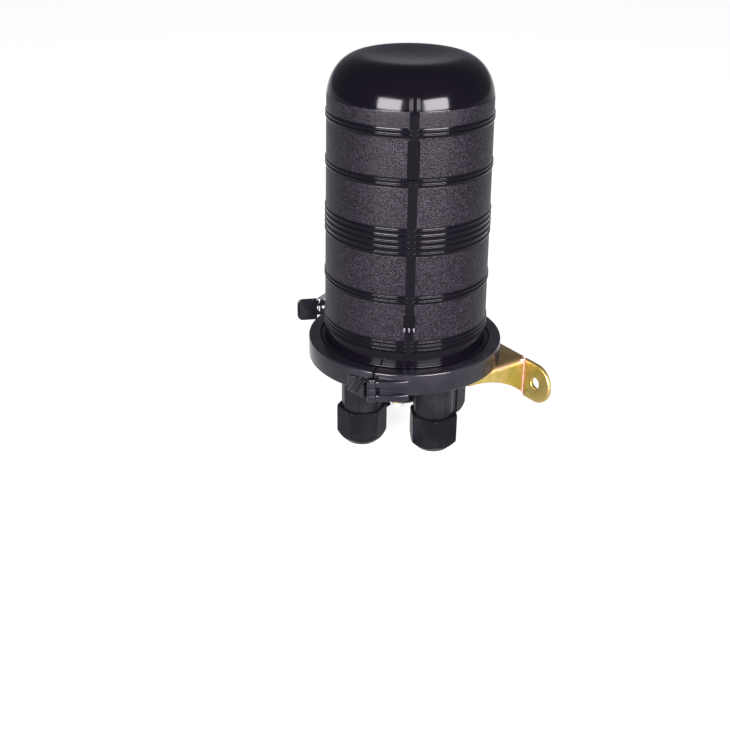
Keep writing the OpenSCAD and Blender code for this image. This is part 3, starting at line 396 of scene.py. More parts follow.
def yellow_zinc():
    """Yellow passivated zinc on rolled sheet: gold with olive clouds, rose and green bands at bends and edges."""
    f = Finish("yellow_zinc")
    cloud = f.noise(26, 4.0, 0.6, distort=0.8)
    small = f.noise(5.5, 4.0, 0.65)
    px, ay, h = f.x * 1000 + WALL_X, abs(f.y) * 1000, f.z * 1000 + UNDER_NUTS
    bend = (1 - abs(ay - 60.5).step(0.6, 4.0)) * h.step(57.5, 61.5)
    bend = bend.most((1 - abs(px - 73.2).step(0.8, 4.0)) * (1 - abs(ay - 61.8).step(0.6, 4.0)))
    low = 1 - h.step(31, 40)
    rim = f.node("ShaderNodeVectorMath", {0: f.node("ShaderNodeNewGeometry", out="Normal"),
                 1: f.soft_edges(2.0, 5)}, out="Value", operation="DOT_PRODUCT")
    edge = 1 - rim.step(0.80, 0.985)
    plate = h.step(59.3, 60.6) * (1 - ay.step(57, 60))
    hue = (cloud * 0.62 + small * 0.22 + 0.08 + bend * 0.22 + edge * 0.18 + low * 0.10).clip()
    gold = f.ramp(hue, [(0.0, (0.112, 0.112, 0.027)), (0.30, (0.188, 0.173, 0.040)), (0.46, (0.28, 0.232, 0.060)),
                        (0.60, (0.35, 0.255, 0.09)), (0.72, (0.39, 0.215, 0.135)), (0.84, (0.50, 0.22, 0.25)),
                        (1.0, (0.30, 0.38, 0.18))])
    base = f.blend(plate * 0.6, gold, (0.20, 0.115, 0.055))
    rolled = f.noise(0.9, 3.0, 0.6, at=f.stretched(0.12, 1, 1))
    spots = f.cells(3.4).step(0.0, 0.22)
    roughness = 0.27 + small * 0.16 + rolled * 0.06 + (1 - spots) * 0.10
    return f.surface(Base_Color=base, Metallic=1.0, Roughness=roughness,
                     Normal=f.bump(rolled * 0.5 + small * 0.5, 0.03, 0.7, f.soft_edges(0.5)))


def turned_steel(name, clean, spot, rough, rough_spot):
    """Steel with turning marks round the pin and a few dull spots."""
    f = Finish(name)
    marks = f.noise(0.35, 2.0, 0.6, at=f.stretched(0.15, 0.15, 1))
    dull = f.noise(3.0, 4.0, 0.65).step(0.45, 0.75)
    return f.surface(Base_Color=f.blend(dull, clean, spot), Metallic=1.0,
                     Roughness=rough + dull * rough_spot + marks * 0.06,
                     Normal=f.bump(marks, 0.02, 0.6, f.soft_edges(0.35)))


def moulded_rubber():
    """Soft black rubber with a dusty matt skin."""
    f = Finish("moulded_rubber")
    bloom = f.noise(4.5, 5.0, 0.65).step(0.42, 0.7)
    skin = f.noise(0.5, 3.0, 0.6)
    base = f.blend(bloom, (0.012, 0.012, 0.013), (0.035, 0.034, 0.036))
    return f.surface(Base_Color=base, Roughness=0.62 + skin * 0.2, IOR=1.5,
                     Normal=f.bump(skin, 0.05, 0.8, f.soft_edges(0.4)))


def tray_plastic(name, pale, shade, rough=0.38):
    """Light moulded plastic with a faint orange peel and warmer, darker clouds."""
    f = Finish(name)
    cloud = f.noise(30, 3.0, 0.5)
    peel = f.noise(1.4, 3.0, 0.5)
    base = f.blend(cloud.step(0.3, 0.75), pale, shade)
    return f.surface(Base_Color=base, Roughness=rough + peel * 0.12, IOR=1.5,
                     Normal=f.bump(peel, 0.03, 0.7, f.soft_edges(0.4)))


def clear_cover():
    """Clear thin polycarbonate with fine scratches."""
    f = Finish("clear_cover")
    scratch = f.noise(0.8, 4.0, 0.7, at=f.stretched(1, 1, 0.05)).step(0.55, 0.62)
    return f.surface(Base_Color=(0.90, 0.94, 0.96), Roughness=0.06 + scratch * 0.2, IOR=1.58,
                     Alpha=0.28 + scratch * 0.12, Normal=f.bump(scratch, 0.01, 0.5, f.soft_edges(0.3)))


# ---------------------------------------------------------------- dome

def wall_r(h):
    """The wall draws in with height by the draft."""
    return DOME_R - h * np.tan(DRAFT)


SHOULDER_Z = DOME_H - SHOULDER_H
DISH_R = wall_r(SHOULDER_Z) - SHOULDER_W


def relief(h, s, opposite):
    """How far the outer wall stands proud at height h and arc distance s from the middle of the strip.

    Rings are cubic ridges. The strip is a flat band with a narrower bead on it, and the higher of ring and
    strip shows. Two sunk windows replace both. On the far side (opposite) there is a bead alone.
    """
    ring = np.zeros_like(h)
    for c in ring_heights():
        ring = np.maximum(ring, RING_PROUD * (1 - smooth(np.abs(h - c), 0.16 * RING_W, 0.5 * RING_W)))
    strip = 0.5 * band(s, 3.2, 0.45) + 0.4 * band(s, 1.8, 0.45)
    bead = 0.9 * band(opposite, 1.8, 0.5)
    out = np.maximum(np.maximum(ring, strip), bead)
    for a, b in WINDOWS:
        mid, half = DOME_H * (a + b) / 2, DOME_H * (b - a) / 2
        sunk = band(s, WINDOW_HALF, 0.4) * band(h - mid, half, 0.5)
        out = out * (1 - sunk) - 0.5 * sunk
    return out


def dish_z(share):
    """Height of the top from the dish's middle (share 0) to its rim (share 1)."""
    return DOME_H - DISH_DEPTH * (1 - share ** 2) ** 1.5


def from_seam(turns):
    """Angles counted from the strip, between -180 and 180."""
    return (turns - SEAM_TURN + 180) % 360 - 180


def dome_surface():
    """Outer and inner wall as one closed sheet: the profile runs from the dish, down the outside with its
    relief, round the flange in the hoop, and up the inside; each profile point turns round the axis."""
    near = np.array([0.5, 0.42, 0.34, 0.27, 0.2, 0.1])
    h = [np.arange(0, SHOULDER_Z, 3.6)]
    h += [c + RING_W * np.concatenate([near, [0], -near]) for c in ring_heights()]
    h += [DOME_H * w + np.linspace(-0.5, 0.5, 5) for pair in WINDOWS for w in pair]
    h = np.unique(np.round(np.concatenate(h), 2))[::-1]
    h = h[(h < SHOULDER_Z - 0.3) & (h >= 0.3)]
    a = np.radians(np.linspace(90, 0, 31))
    dish = np.linspace(0, 1, 16)[:-1]
    outside = np.concatenate([
        np.column_stack([DISH_R * dish, dish_z(dish)]),
        np.column_stack([DISH_R + SHOULDER_W * np.cos(a), SHOULDER_Z + SHOULDER_H * np.sin(a)]),
        np.column_stack([wall_r(h), h])])
    foot = np.array([[DOME_R, 0.1], [DOME_R + 0.15, -0.35], [DOME_R + 0.5, -0.6], [65.2, -0.6], [65.5, -0.9],
                     [65.5, -2.2], [71.07, -4.2], [71.07, -8.4], [70.9, -8.5], [59.7, -8.5], [59.5, -8.3]])
    a = np.radians(np.linspace(0, 90, 15))
    wall = np.linspace(DOME_R - DOME_WALL, wall_r(SHOULDER_Z) - DOME_WALL, 20)
    dish = np.linspace(0.96, 0, 12)
    inside = np.concatenate([
        np.column_stack([wall, np.linspace(-6, SHOULDER_Z - 2, 20)]),
        np.column_stack([DISH_R + (SHOULDER_W - DOME_WALL) * np.cos(a),
                         SHOULDER_Z + (SHOULDER_H - DOME_WALL) * np.sin(a)]),
        np.column_stack([DISH_R * dish, dish_z(dish) - DOME_WALL])])
    profile = np.concatenate([outside, foot, inside])
    # columns lie close on the strip and on the far side's bead, and 1.8 degrees apart elsewhere
    fine = np.degrees(np.arange(-5.06, 5.07, 0.23) / SEAM_R)
    back = np.degrees(np.arange(-2.6, 2.61, 0.26) / SEAM_R)
    plain = np.arange(0, 360, 1.8)
    off = np.abs(from_seam(plain))
    plain = plain[(off > fine[-1] + 0.7) & (180 - off > back[-1] + 0.7)]
    turns = np.sort(np.concatenate([plain, (SEAM_TURN + fine) % 360, (SEAM_TURN + 180 + back) % 360]))
    off = from_seam(turns)
    r, z = profile[:, :1], profile[:, 1:]
    s = np.radians(off)[None] * SEAM_R
    opposite = np.radians(np.abs(off) - 180)[None] * SEAM_R
    # over the shoulder the strip fades out before the dish, and the foot and the inside have no relief
    lift = relief(z + 0 * s, s + 0 * z, opposite + 0 * z) * (1 - smooth(z, DOME_H - 8, DOME_H - 0.5))
    lift[len(outside):] = 0
    steep = np.gradient(profile, axis=0)
    n = unit(np.column_stack([-steep[:, 1], steep[:, 0]]))
    rr, zz = r + n[:, :1] * lift, z + n[:, 1:] * lift
    t = np.radians(turns)[None]
    return np.stack([rr * np.cos(t), rr * np.sin(t), HOOP_TOP + zz + 0 * t], -1)


def window_bar(across):
    """Small upright half-round bar in the lower window, standing out as far as the strip, and its place."""
    half, corner = BAR_H / 2, 0.54
    box = rounded([(-BAR_HALF, -half, corner), (BAR_HALF, -half, corner),
                   (BAR_HALF, half, corner), (-BAR_HALF, half, corner)], 4)
    out = turn_z(SEAM_TURN + np.degrees(across / SEAM_R))
    m = frame_at(out[:3, 0] * SEAM_R + [0, 0, HOOP_TOP + DOME_H * BAR_SHARE + half], out[:3, 1], (0, 0, 1))
    bar = slab(box, 0, 1.9, 0.3, 4)
    # its face leans up and is round across, so that it catches the light
    bar[..., 2] *= (0.68 - bar[..., 1] / BAR_H * 0.64) * (1 - 0.5 * (bar[..., 0] / BAR_HALF) ** 2)
    return bar, m


def make_dome(finish):
    s = Shells().add(dome_surface())
    for across in (-BAR_STEP, 0, BAR_STEP):
        bar, m = window_bar(across)
        s.add(bar, matrix=m)
    s.piece("dome_shell", finish, BODY["dome"], [n for n in BODY if n.startswith("dome")], "dome", 80)


# ---------------------------------------------------------------- hoop

def hoop_section():
    """Channel section (r, z): outer corners rounded by 1.3 mm, lips by 0.5 mm."""
    z0, z1 = HOOP_Z, HOOP_TOP
    return rounded([(LIP_R, z1, 0.5), (LIP_R, z1 - 1.9, 0.4), (71.4, z1 - 3.9, 0.5), (71.4, z0 + 3.9, 0.5),
                    (LIP_R, z0 + 1.9, 0.4), (LIP_R, z0, 0.5), (HOOP_R, z0, 1.3), (HOOP_R, z1, 1.3)], 5)


def hoop_arc(start, end):
    """The section carried from angle start to angle end. Over its last 0.5 mm it widens by up to 0.42 mm, so
    that each cut end has a small lip."""
    span, cut = end - start, np.array([0, 0.12, 0.35])
    t = np.concatenate([cut, np.linspace(0.9, span - 0.9, int(span / 1.5) + 2), span - cut[::-1]])
    lip = 0.42 * (1 - np.clip(np.minimum(t, span - t) / 0.4, 0, 1)) ** 2
    # the section is counter-clockwise, and reversed it is moved outwards by inset
    section = hoop_section()[::-1]
    rows = np.stack([inset(section, d)[::-1] for d in lip])
    a = np.radians(start + t)[:, None]
    return np.stack([rows[..., 0] * np.cos(a), rows[..., 0] * np.sin(a), rows[..., 1]], -1)


def barrel(turn, low, high):
    """Hinge knuckle: a ring whose rims are rounded, turned round the hinge's own axis."""
    bore, out = 1.66, 3.6
    p = rounded([(bore, low, 0.15), (out, low, 0.5), (out, high, 0.5), (bore, high, 0.15)], 4)
    return turned(p, whole_turn(48)), turn_z(turn) @ shifted(HINGE_R)


def arm(start, end, r_start, r_end, low, high, slots=None):
    """Arm along the hoop: a rounded box section whose outer face goes from r_start to r_end, less any slots."""
    n, m = (61, 25) if slots else (17, 5)
    t = np.linspace(0, 1, n)
    edge, tall = 1.1, high - low
    corner = np.radians(np.linspace(0, 90, 5))
    rise, draw = edge * (1 - np.cos(corner)), edge * (1 - np.sin(corner))
    v = np.concatenate([rise, np.linspace(edge, tall - edge, m)[1:-1], tall - rise[::-1]])
    draw = np.concatenate([draw, np.zeros(m - 2), draw[::-1]])
    z = low + np.concatenate([v, v[::-1]])[None] + 0 * t[:, None]
    a = start + (end - start) * t[:, None] + 0 * z
    r_out = (r_start + (r_end - r_start) * t)[:, None] - draw[None]
    if slots:
        r_out = r_out - slots(a[:, :len(v)], z[:, :len(v)]) * np.clip(r_out - HOOP_R - 0.2, 0, None)
    ends = np.minimum(t, 1 - t)[:, None] * abs(end - start) * ARM_ARC
    r_out = r_out - 0.6 * (1 - np.clip(ends / 0.6, 0, 1)) ** 2
    # the inner face lies inside the hoop's wall
    r = np.concatenate([np.maximum(r_out, HOOP_R - 0.4), np.full((n, len(v)), HOOP_R - 0.8)], 1)
    a = np.radians(a)
    return np.stack([r * np.cos(a), r * np.sin(a), z], -1)


def slanted_slots(turn, way, mid):
    """Field over angle and height: how deep three slots cut that lean at 35 degrees, as a share."""
    step = (ARM_TO - ARM_FROM) / 4

    def field(a, z):
        lean = np.tan(np.radians(35)) * (z - mid) / ARM_ARC
        middles = [turn + way * (ARM_FROM + step * i - lean) for i in (1, 2, 3)]
        return 0.55 * np.max([band((a - middle) * ARM_ARC, 1.15, 1.5) for middle in middles], axis=0)
    return field


def slotted_arm(turn, way, top, tall):
    """The long arm of a swinging part, from beside its hinge into the hoop's wall."""
    return arm(turn + way * ARM_FROM, turn + way * ARM_TO, ARM_R, HOOP_R, top - tall + 1.4, top - 1.4,
               slanted_slots(turn, way, top - tall / 2))


def knuckles(s, turn, top, tall, which, way, reach):
    """Those of a hinge's three knuckles that one part of the hoop carries, each with its arm."""
    gap = 0.15
    for k in which:
        low = top - tall + k * tall / 3 + (gap if k else 0)
        high = top - tall + (k + 1) * tall / 3 - (gap if k < 2 else 0)
        ring, m = barrel(turn, low, high)
        s.add(ring, along=True, matrix=m)
        s.add(arm(turn + way * 1.9, turn + way * reach, ARM_R, HOOP_R + 0.6, low + 0.02, high - 0.02))


def make_hoop(finish):
    s = Shells().add(hoop_arc(FRONT_HINGE + GAP, 360 + REAR_HINGE - REAR_GAP))
    knuckles(s, FRONT_HINGE, FRONT_TOP, FRONT_H, (0, 2), 1, 20)
    knuckles(s, REAR_HINGE, REAR_TOP, REAR_H, (0, 2), -1, 20)
    s.piece("hoop_front", finish, BODY["clamp_front"], ["clamp_front"], "hoop")
    s = Shells().add(hoop_arc(SPLIT + GAP, FRONT_HINGE - GAP))
    knuckles(s, FRONT_HINGE, FRONT_TOP, FRONT_H, (1,), -1, 5.3)
    s.add(slotted_arm(FRONT_HINGE, -1, FRONT_TOP, FRONT_H))
    ear = rounded([(-1.5, 0.9, 0), (7.2, 0.95, 3.0), (10.6, 4.0, 3.0), (7.2, 7.1, 3.0), (-1.5, 9.5, 0)])
    s.add(slab(ear, -2.5, 2.5, 0.5), matrix=LATCH)
    s.piece("hoop_left", finish, BODY["clamp_left"], ["clamp_left"], "hoop")
    s = Shells().add(hoop_arc(REAR_HINGE + REAR_GAP, SPLIT - GAP))
    knuckles(s, REAR_HINGE, REAR_TOP, REAR_H, (1,), 1, 5.3)
    s.add(slotted_arm(REAR_HINGE, 1, REAR_TOP, REAR_H))
    lug = rounded([(-1.5, -3.5, 0), (5, -3.5, 0.7), (5, -1.2, 0.7), (-1.5, -0.9, 0)], 4)
    s.add(slab(lug, -4.6, 4.6, 0.5), matrix=LATCH)
    s.piece("hoop_rear", finish, BODY["clamp_rear"], ["clamp_rear", "latch_lug"], "hoop")


# ---------------------------------------------------------------- latch

# Turns of lever and link against the hoop, the link pin's place on the lever, and the link's length; then the
# frames of latch (X outwards, Y along the hoop) and lever
LEVER_TURN, LINK_TURN, LINK_PIN, LINK_LONG = 32.7, 18, (3.55, 9.3, 0), 20.3
LATCH = turn_z(SPLIT) @ shifted(HOOP_R, 0, HOOP_TOP - 5)
LEVER = LATCH @ turn_z(-LEVER_TURN, (7.5, 4, 0))


def make_latch(plastic, steel, dark):
    s = Shells()
    cheek = rounded([(-1.9, -2.6, 1.2), (1.2, -3.2, 2.4), (3.2, 0.0, 1.6), (6.75, 9.3, 3.1), (3.6, 12.6, 1.5),
                     (0.7, 18, 0.2), (-1.9, 18, 0.2)], 4)
    for low, high in ((-5.15, -2.65), (2.65, 5.15)):
        s.add(slab(cheek, low, high, 0.45), matrix=LEVER)
    paddle = rounded([(12.2, -9.25, 1.2), (28.6, -9.25, 4.5), (28.6, 9.25, 4.5), (12.2, 9.25, 1.2)], 7)
    # the paddle's outline lies in the lever's Y and Z, and its thickness along X
    face = LEVER @ frame_at((-1.9, 0, 0), (0, 1, 0), (0, 0, 1))
    s.add(slab(paddle, 0, 2.6, 0.7, 4), matrix=face)
    thumb = rounded([(-1.9, 26.2, 0.6), (1.9, 26.2, 0.6), (1.9, 28.5, 0.9), (-1.9, 28.5, 0.6)], 4)
    s.add(slab(thumb, -4.75, 4.75, 0.5), matrix=LEVER)
    s.piece("lever_paddle", plastic, BODY["latch_lever"], ["latch_lever"], "hoop")

    link_at = LEVER @ turn_z(LEVER_TURN + LINK_TURN, LINK_PIN)
    s = Shells()
    a = np.radians(np.linspace(0, 180, 15))
    strap = np.concatenate([np.column_stack([2.5 * np.cos(a), 2.5 * np.sin(a)]),
                            np.column_stack([-2.5 * np.cos(a), -LINK_LONG - 2.5 * np.sin(a)])])
    for low, high in ((-7.25, -5.45), (5.45, 7.25)):
        s.add(slab(strap, low, high, 0.35), matrix=link_at)
    s.add(lathe_pin(1.6, -7.0, 7.0, 0.2), matrix=link_at @ shifted(0, -LINK_LONG))
    s.piece("link_loop", steel, BODY["latch_link"], ["latch_link"], "steel")

    for name, m, half in (("lever_pin", LEVER, 5.15), ("link_pin", LEVER @ shifted(*LINK_PIN), 7.55)):
        pin = Shells().add(lathe_pin(2.0, -half, half, 0.45), matrix=m)
        pin.piece(name + "_turned", steel, BODY[name], [name], "steel")
    for name, turn, top, tall in (("hinge_pin_front", FRONT_HINGE, FRONT_TOP, FRONT_H),
                                  ("hinge_pin_rear", REAR_HINGE, REAR_TOP, REAR_H)):
        side = rounded([(0, top - tall, 0), (1.6, top - tall, 0.4), (1.6, top, 0), (3.3, top, 0.2),
                        (3.3, top + 1.8, 0.9), (0, top + 1.8, 0)])
        points = turned(side, whole_turn(48)).transpose(1, 0, 2)
        pin = Shells().add(points, matrix=turn_z(turn) @ shifted(HINGE_R))
        pin.piece(name + "_turned", dark, BODY[name], [name], "steel")


# ---------------------------------------------------------------- glands

# Half the width across flats and across corners, and the height. The profile's outer points stand at NUT_OUT
NUT_HALF, NUT_CORNER, NUT_H, NUT_OUT = 17.3, 19.98, 29.5, 20.0


def nut_radius(r, z, a):
    """Hexagon with soft corners, trimmed by a 45 degree cone below and a small one above.

    Each flat is a cosine; their high power mean gives the corner its round, and the same mean of hexagon
    and cones rounds the chamfer's edge. Only the outer points (r over 15) take it."""
    power, blend = 44, 60.0
    total = sum(np.maximum(np.cos(a - np.radians(60 * k)), 0) ** power for k in range(6))
    hexagon = NUT_HALF / total ** (1 / power)
    cone = np.minimum(NUT_CORNER - 7 + np.maximum(z, 0.35), NUT_CORNER - 0.9 + (NUT_H - z))
    soft = (hexagon ** -blend + cone ** -blend) ** (-1 / blend)
    return np.where(r > 15, soft * r / NUT_OUT, r + 0 * a)


def make_nut(k, finish):
    """Gland nut: hexagon outside, thread bore and mouth inside, closed round both ways."""
    z = np.concatenate([np.linspace(0.4, 9.4, 19), np.linspace(11, 26, 6), np.linspace(27, 29.2, 8)])
    outer = np.column_stack([np.full(len(z), NUT_OUT), z])
    low = np.array([[NUT_OUT * 0.955, 0.0], [NUT_OUT * 0.985, 0.12]])
    high = np.array([[NUT_OUT * 0.985, 29.42], [NUT_OUT * 0.96, NUT_H]])
    bore, mouth = 14.31, 9.5
    inner = np.array([[14.7, NUT_H], [bore, 29.1], [bore, 18], [bore, 7.0],
                      [9.9, 7.0], [mouth, 6.6], [mouth, 0.8], [10.2, 0.0]])
    grid = turned(np.concatenate([low, outer, high, inner]), whole_turn(180), nut_radius)
    name = "gland_nut_%d" % k
    s = Shells().add(grid, along=True, matrix=turn_z(90 * (k - 1)) @ shifted(PORT_R))
    s.piece("hex_nut_%d" % k, finish, BODY[name], [name], "body", 30)


# ---------------------------------------------------------------- bracket

# Thickness, outer face of a side flange, start of the plate, flange depth there and at the wall, outer bend radius
SHEET, ARM_Y, START_X, START_H, WING_H, BEND = 3.0, 61.5, 17.0, 9.0, 32.0, 4.2
PORT_HOLE, BOLT_HOLE = 17.4, 4.5
# Rows close to a cut edge, counted from it
EDGE = np.array([0, 0.1, 0.3, 0.6])


def flange_depth(x):
    """Depth of a side flange below the plate's top: an arc from START_H at its start to WING_H at the wall."""
    run, fall = WALL_X - START_X, WING_H - START_H
    r = (run * run + fall * fall) / (2 * fall)
    return START_H + r - np.sqrt(np.maximum(r * r - (run - (WALL_X - x)) ** 2, 0))


def thick(middle, normal, half, edge=0.45, steps=3):
    """Closed sheet from rows of a middle line: each row is a thin section with rounded ends.

    middle is a grid (rows, points, 3), normal the sheet's normal there. Each row is walked out on one face
    and back on the other, and its two ends are half rounds."""
    half = np.broadcast_to(half, (*middle.shape[:2], 1))
    e = unit(np.gradient(middle, axis=1))
    a = np.linspace(-np.pi / 2, np.pi / 2, 2 * steps + 1)[None, :, None]
    end = middle[:, -1:] + e[:, -1:] * edge * (np.cos(a) - 1) + normal[:, -1:] * half[:, -1:] * np.sin(a)
    start = middle[:, :1] - e[:, :1] * edge * (np.cos(a) - 1) - normal[:, :1] * half[:, :1] * np.sin(a)
    face, back = (middle[:, 1:-1] + way * normal[:, 1:-1] * half[:, 1:-1] for way in (1, -1))
    return np.concatenate([back, end, face[:, ::-1], start], 1)


def side_sheet(side):
    """Side flange with its top bend: the section goes in from the plate, round the bend and down to the
    flange's edge, whose depth follows an arc along X."""
    x = np.concatenate([START_X + EDGE, np.linspace(START_X + 1.5, WALL_X - 3.2, 44), [WALL_X - 2.6, WALL_X - 2.4]])
    r = BEND - SHEET / 2
    a = np.radians(np.linspace(0, 90, 9))
    flat = np.array([-2.0, -1.5, -0.02])
    top_y = np.concatenate([ARM_Y - BEND + flat, ARM_Y - BEND + r * np.sin(a)])
    top_z = np.concatenate([0 * flat, -r + r * np.cos(a)]) + BASE_Z - SHEET / 2
    down = np.linspace(0, 1, 12)[1:]
    along = 0 * x[:, None]
    y = np.concatenate([top_y + along, top_y[-1] + 0 * down + along], 1)
    z = np.concatenate([top_z + along, top_z[-1] + (BASE_Z - flange_depth(x) - top_z[-1])[:, None] * down], 1)
    middle = np.stack([x[:, None] + 0 * y, y * side, z], -1)
    ny = np.concatenate([0 * flat, np.sin(a), np.ones(len(down))]) * side
    nz = np.concatenate([1 + 0 * flat, np.cos(a), np.zeros(len(down))])
    normal = np.broadcast_to(np.column_stack([0 * ny, ny, nz]), middle.shape)
    shrink = (1 - np.clip((x - START_X) / 0.6, 0, 1)) ** 2
    # where it overlaps the plate it is thinner, so that the faces don't coincide
    inside = np.where(np.arange(middle.shape[1]) < len(flat), 0.2, 0)
    half = (SHEET / 2 - 0.4 * shrink)[:, None, None] - inside[None, :, None]
    return thick(middle, normal, half)


def upright_bend(side):
    """Middle line and normal of the quarter turn between flange and wing, as tall as both, with the half
    thickness of each row. Its lower edge follows the flange's."""
    r = BEND - SHEET / 2
    a = np.radians(np.linspace(0, 90, 9))
    up = np.concatenate([EDGE, np.linspace(1.4, WING_H - 1.4, 30), WING_H - EDGE[::-1]])
    px = np.concatenate([[WALL_X - BEND - 0.6], WALL_X - BEND + r * np.sin(a)])
    py = np.concatenate([[ARM_Y - SHEET / 2], ARM_Y - SHEET / 2 + r - r * np.cos(a)])
    nx, ny = np.concatenate([[0], np.sin(a)]), np.concatenate([[-1], -np.cos(a)])
    share = np.minimum(up, WING_H - 0.01) / WING_H
    z = BASE_Z - flange_depth(np.minimum(px, WALL_X))[None] * (1 - share[:, None])
    middle = np.stack([px + 0 * z, side * (py + 0 * z), z], -1)
    normal = np.broadcast_to(np.column_stack([nx, side * ny, 0 * nx]), middle.shape)
    half = SHEET / 2 - 0.4 * (1 - np.clip(np.minimum(up, WING_H - up) / 0.6, 0, 1)) ** 2
    return middle, normal, half[:, None, None]


def wing_outline():
    """Wing seen along X, as (y, z): a half round about the hole, then the side that meets the bend. With it
    comes the hole's middle."""
    a = np.radians(np.linspace(-90, 90, 33))
    hole = np.array([ARM_Y + 13.5, BASE_Z - WING_H / 2])
    root = ARM_Y + BEND - SHEET - 0.3
    arc = hole + WING_H / 2 * np.column_stack([np.cos(a), np.sin(a)])
    return np.vstack([arc, [[root, BASE_Z], [root, BASE_Z - WING_H]]]), hole


def ring_plate(inner, outer, low, high, edge=0.45, steps=3):
    """Plate with a hole: the section (in from the hole's rim to the outer rim, both rounded) is carried round
    matching points of the inner and outer outlines."""
    a = np.linspace(0, np.pi / 2, steps + 1)
    d, edge = unit(outer - inner), np.broadcast_to(edge, (len(outer), 1))
    order = [(outer, -1, low, 1, a), (outer, -1, high, -1, a[::-1]),
             (inner, 1, high, -1, a), (inner, 1, low, 1, a[::-1])]
    return np.stack([np.column_stack([rim + way * d * edge * (1 - np.sin(t)), z + up * edge * (1 - np.cos(t))])
                     for rim, way, z, up, turns in order for t in turns])


def ray_to(outline_points, centre, count):
    """The outline met by count even rays from centre, found by interpolating radius over angle."""
    d = outline_points - centre
    ang = np.unwrap(np.arctan2(d[:, 1], d[:, 0]))
    rad = np.hypot(d[:, 0], d[:, 1])
    t = ang[0] + 2 * np.pi * np.arange(count) / count
    ang, rad = np.append(ang, ang[0] + 2 * np.pi), np.append(rad, rad[0])
    r = np.interp(t, ang, rad)
    return centre + np.column_stack([r * np.cos(t), r * np.sin(t)]), t


def dense(corners, step=0.6):
    """Closed outline with points every step along its straight sides."""
    out = []
    for k in range(len(corners)):
        a, b = corners[k], corners[(k + 1) % len(corners)]
        n = max(int(np.linalg.norm(b - a) / step), 1)
        out.append(a + (b - a) * (np.arange(n) / n)[:, None])
    return np.vstack(out)


def make_bracket(finish):
    """One bent sheet: the plate round its port hole, two flanges with top bends, two wings with side bends."""
    s = Shells()
    y = ARM_Y - BEND
    plate = dense(np.array([[WALL_X, -y], [WALL_X, y], [START_X, y], [START_X, -y]], float))
    centre = np.array([PORT_R, 0.0])
    outer, t = ray_to(plate, centre, 360)
    inner = centre + PORT_HOLE * np.column_stack([np.cos(t), np.sin(t)])
    rim = np.where(np.abs(outer[:, 1]) > y - 0.01, 0.02, 0.45)[:, None]
    s.add(ring_plate(inner, outer, BASE_Z - SHEET, BASE_Z, rim), along=True)
    for side in (-1, 1):
        s.add(side_sheet(side))
        s.add(thick(*upright_bend(side)))
        outline, hole = wing_outline()
        outer, t = ray_to(dense(outline), hole, 240)
        inner = hole + BOLT_HOLE * np.column_stack([np.cos(t), np.sin(t)])
        m = frame_at((WALL_X - SHEET, 0, 0), (0, side, 0), (0, 0, 1))
        m[:3, 2] = (1, 0, 0)  # both wings grow towards the wall
        s.add(ring_plate(inner, outer, 0, SHEET), along=True, matrix=m)
    s.piece("bent_bracket", finish, BODY["bracket"], ["bracket"], "zinc", 35)


# ---------------------------------------------------------------- what each piece is

dome_black = dome_plastic()
hoop_black = satin_plastic("hoop_plastic", (0.0022, 0.0019, 0.0030), (0.0060, 0.0054, 0.0072),
                           rough=0.20, grain_mm=1.6, bump_mm=0.022, round_mm=0, shine=0.15)
body_black = satin_plastic("body_plastic", (0.0018, 0.0016, 0.0025), (0.0050, 0.0046, 0.0058),
                           rough=0.30, grain_mm=0.9, bump_mm=0.06, round_mm=0.6, shine=0.09)
nut_black = satin_plastic("nut_plastic", (0.0014, 0.0012, 0.0018), (0.0040, 0.0036, 0.0046),
                          rough=0.32, grain_mm=0.8, bump_mm=0.07, round_mm=0, shine=0.03)
zinc = yellow_zinc()
steel = turned_steel("bright_steel", (0.74, 0.74, 0.76), (0.50, 0.49, 0.47), 0.16, 0.16)
dark_pin = turned_steel("blackened_steel", (0.020, 0.019, 0.023), (0.034, 0.032, 0.036), 0.24, 0.14)
rubber = moulded_rubber()
tray_grey = tray_plastic("tray_plastic", (0.70, 0.70, 0.66), (0.60, 0.59, 0.54))
holder_grey = tray_plastic("holder_foam", (0.55, 0.57, 0.60), (0.42, 0.44, 0.47), 0.55)
cover_clear = clear_cover()

# How a node's name starts, and its finish; all other nodes that stay are steel
NODE_FINISH = {
    "base": body_black, "port_tube": body_black, "o_ring": rubber, "gland_seal": rubber, "earth_washer": zinc,
    "slip_ring": tray_grey, "slack_basket": tray_grey, "splice_tray": tray_grey, "splice_holder": holder_grey,
    "tray_cover": cover_clear,
}
for name, node in frame["nodes"].items():
    kind = next((finish for start, finish in NODE_FINISH.items() if name.startswith(start)), steel)
    for slot in node.material_slots:
        slot.material = kind

make_dome(dome_black)
make_hoop(hoop_black)
make_latch(hoop_black, steel, dark_pin)
for k in (1, 2, 3, 4):
    make_nut(k, nut_black)
make_bracket(zinc)


# ---------------------------------------------------------------- floor, light and camera

def make_floor():
    """A wide light table under the nuts: pale acrylic, lit from below, with a faint tooth."""
    f = Finish("pale_floor")
    tooth = f.noise(3, 3.0, 0.5)
    f.surface(Base_Color=(0.07, 0.07, 0.07), Roughness=0.75 + tooth * 0.1, Emission_Color=(1, 1, 1),
              Emission_Strength=0.88, Normal=f.bump(tooth, 0.02, 0.5))
    z, half = -UNDER_NUTS * 0.001, 9
    mesh = bpy.data.meshes.new("floor")
    mesh.from_pydata([(-half, -half, z), (half, -half, z), (half, half, z), (-half, half, z)], [], [(0, 1, 2, 3)])
    mesh.materials.append(f.made)
    floor = bpy.data.objects.new("floor", mesh)
    bpy.context.scene.collection.objects.link(floor)


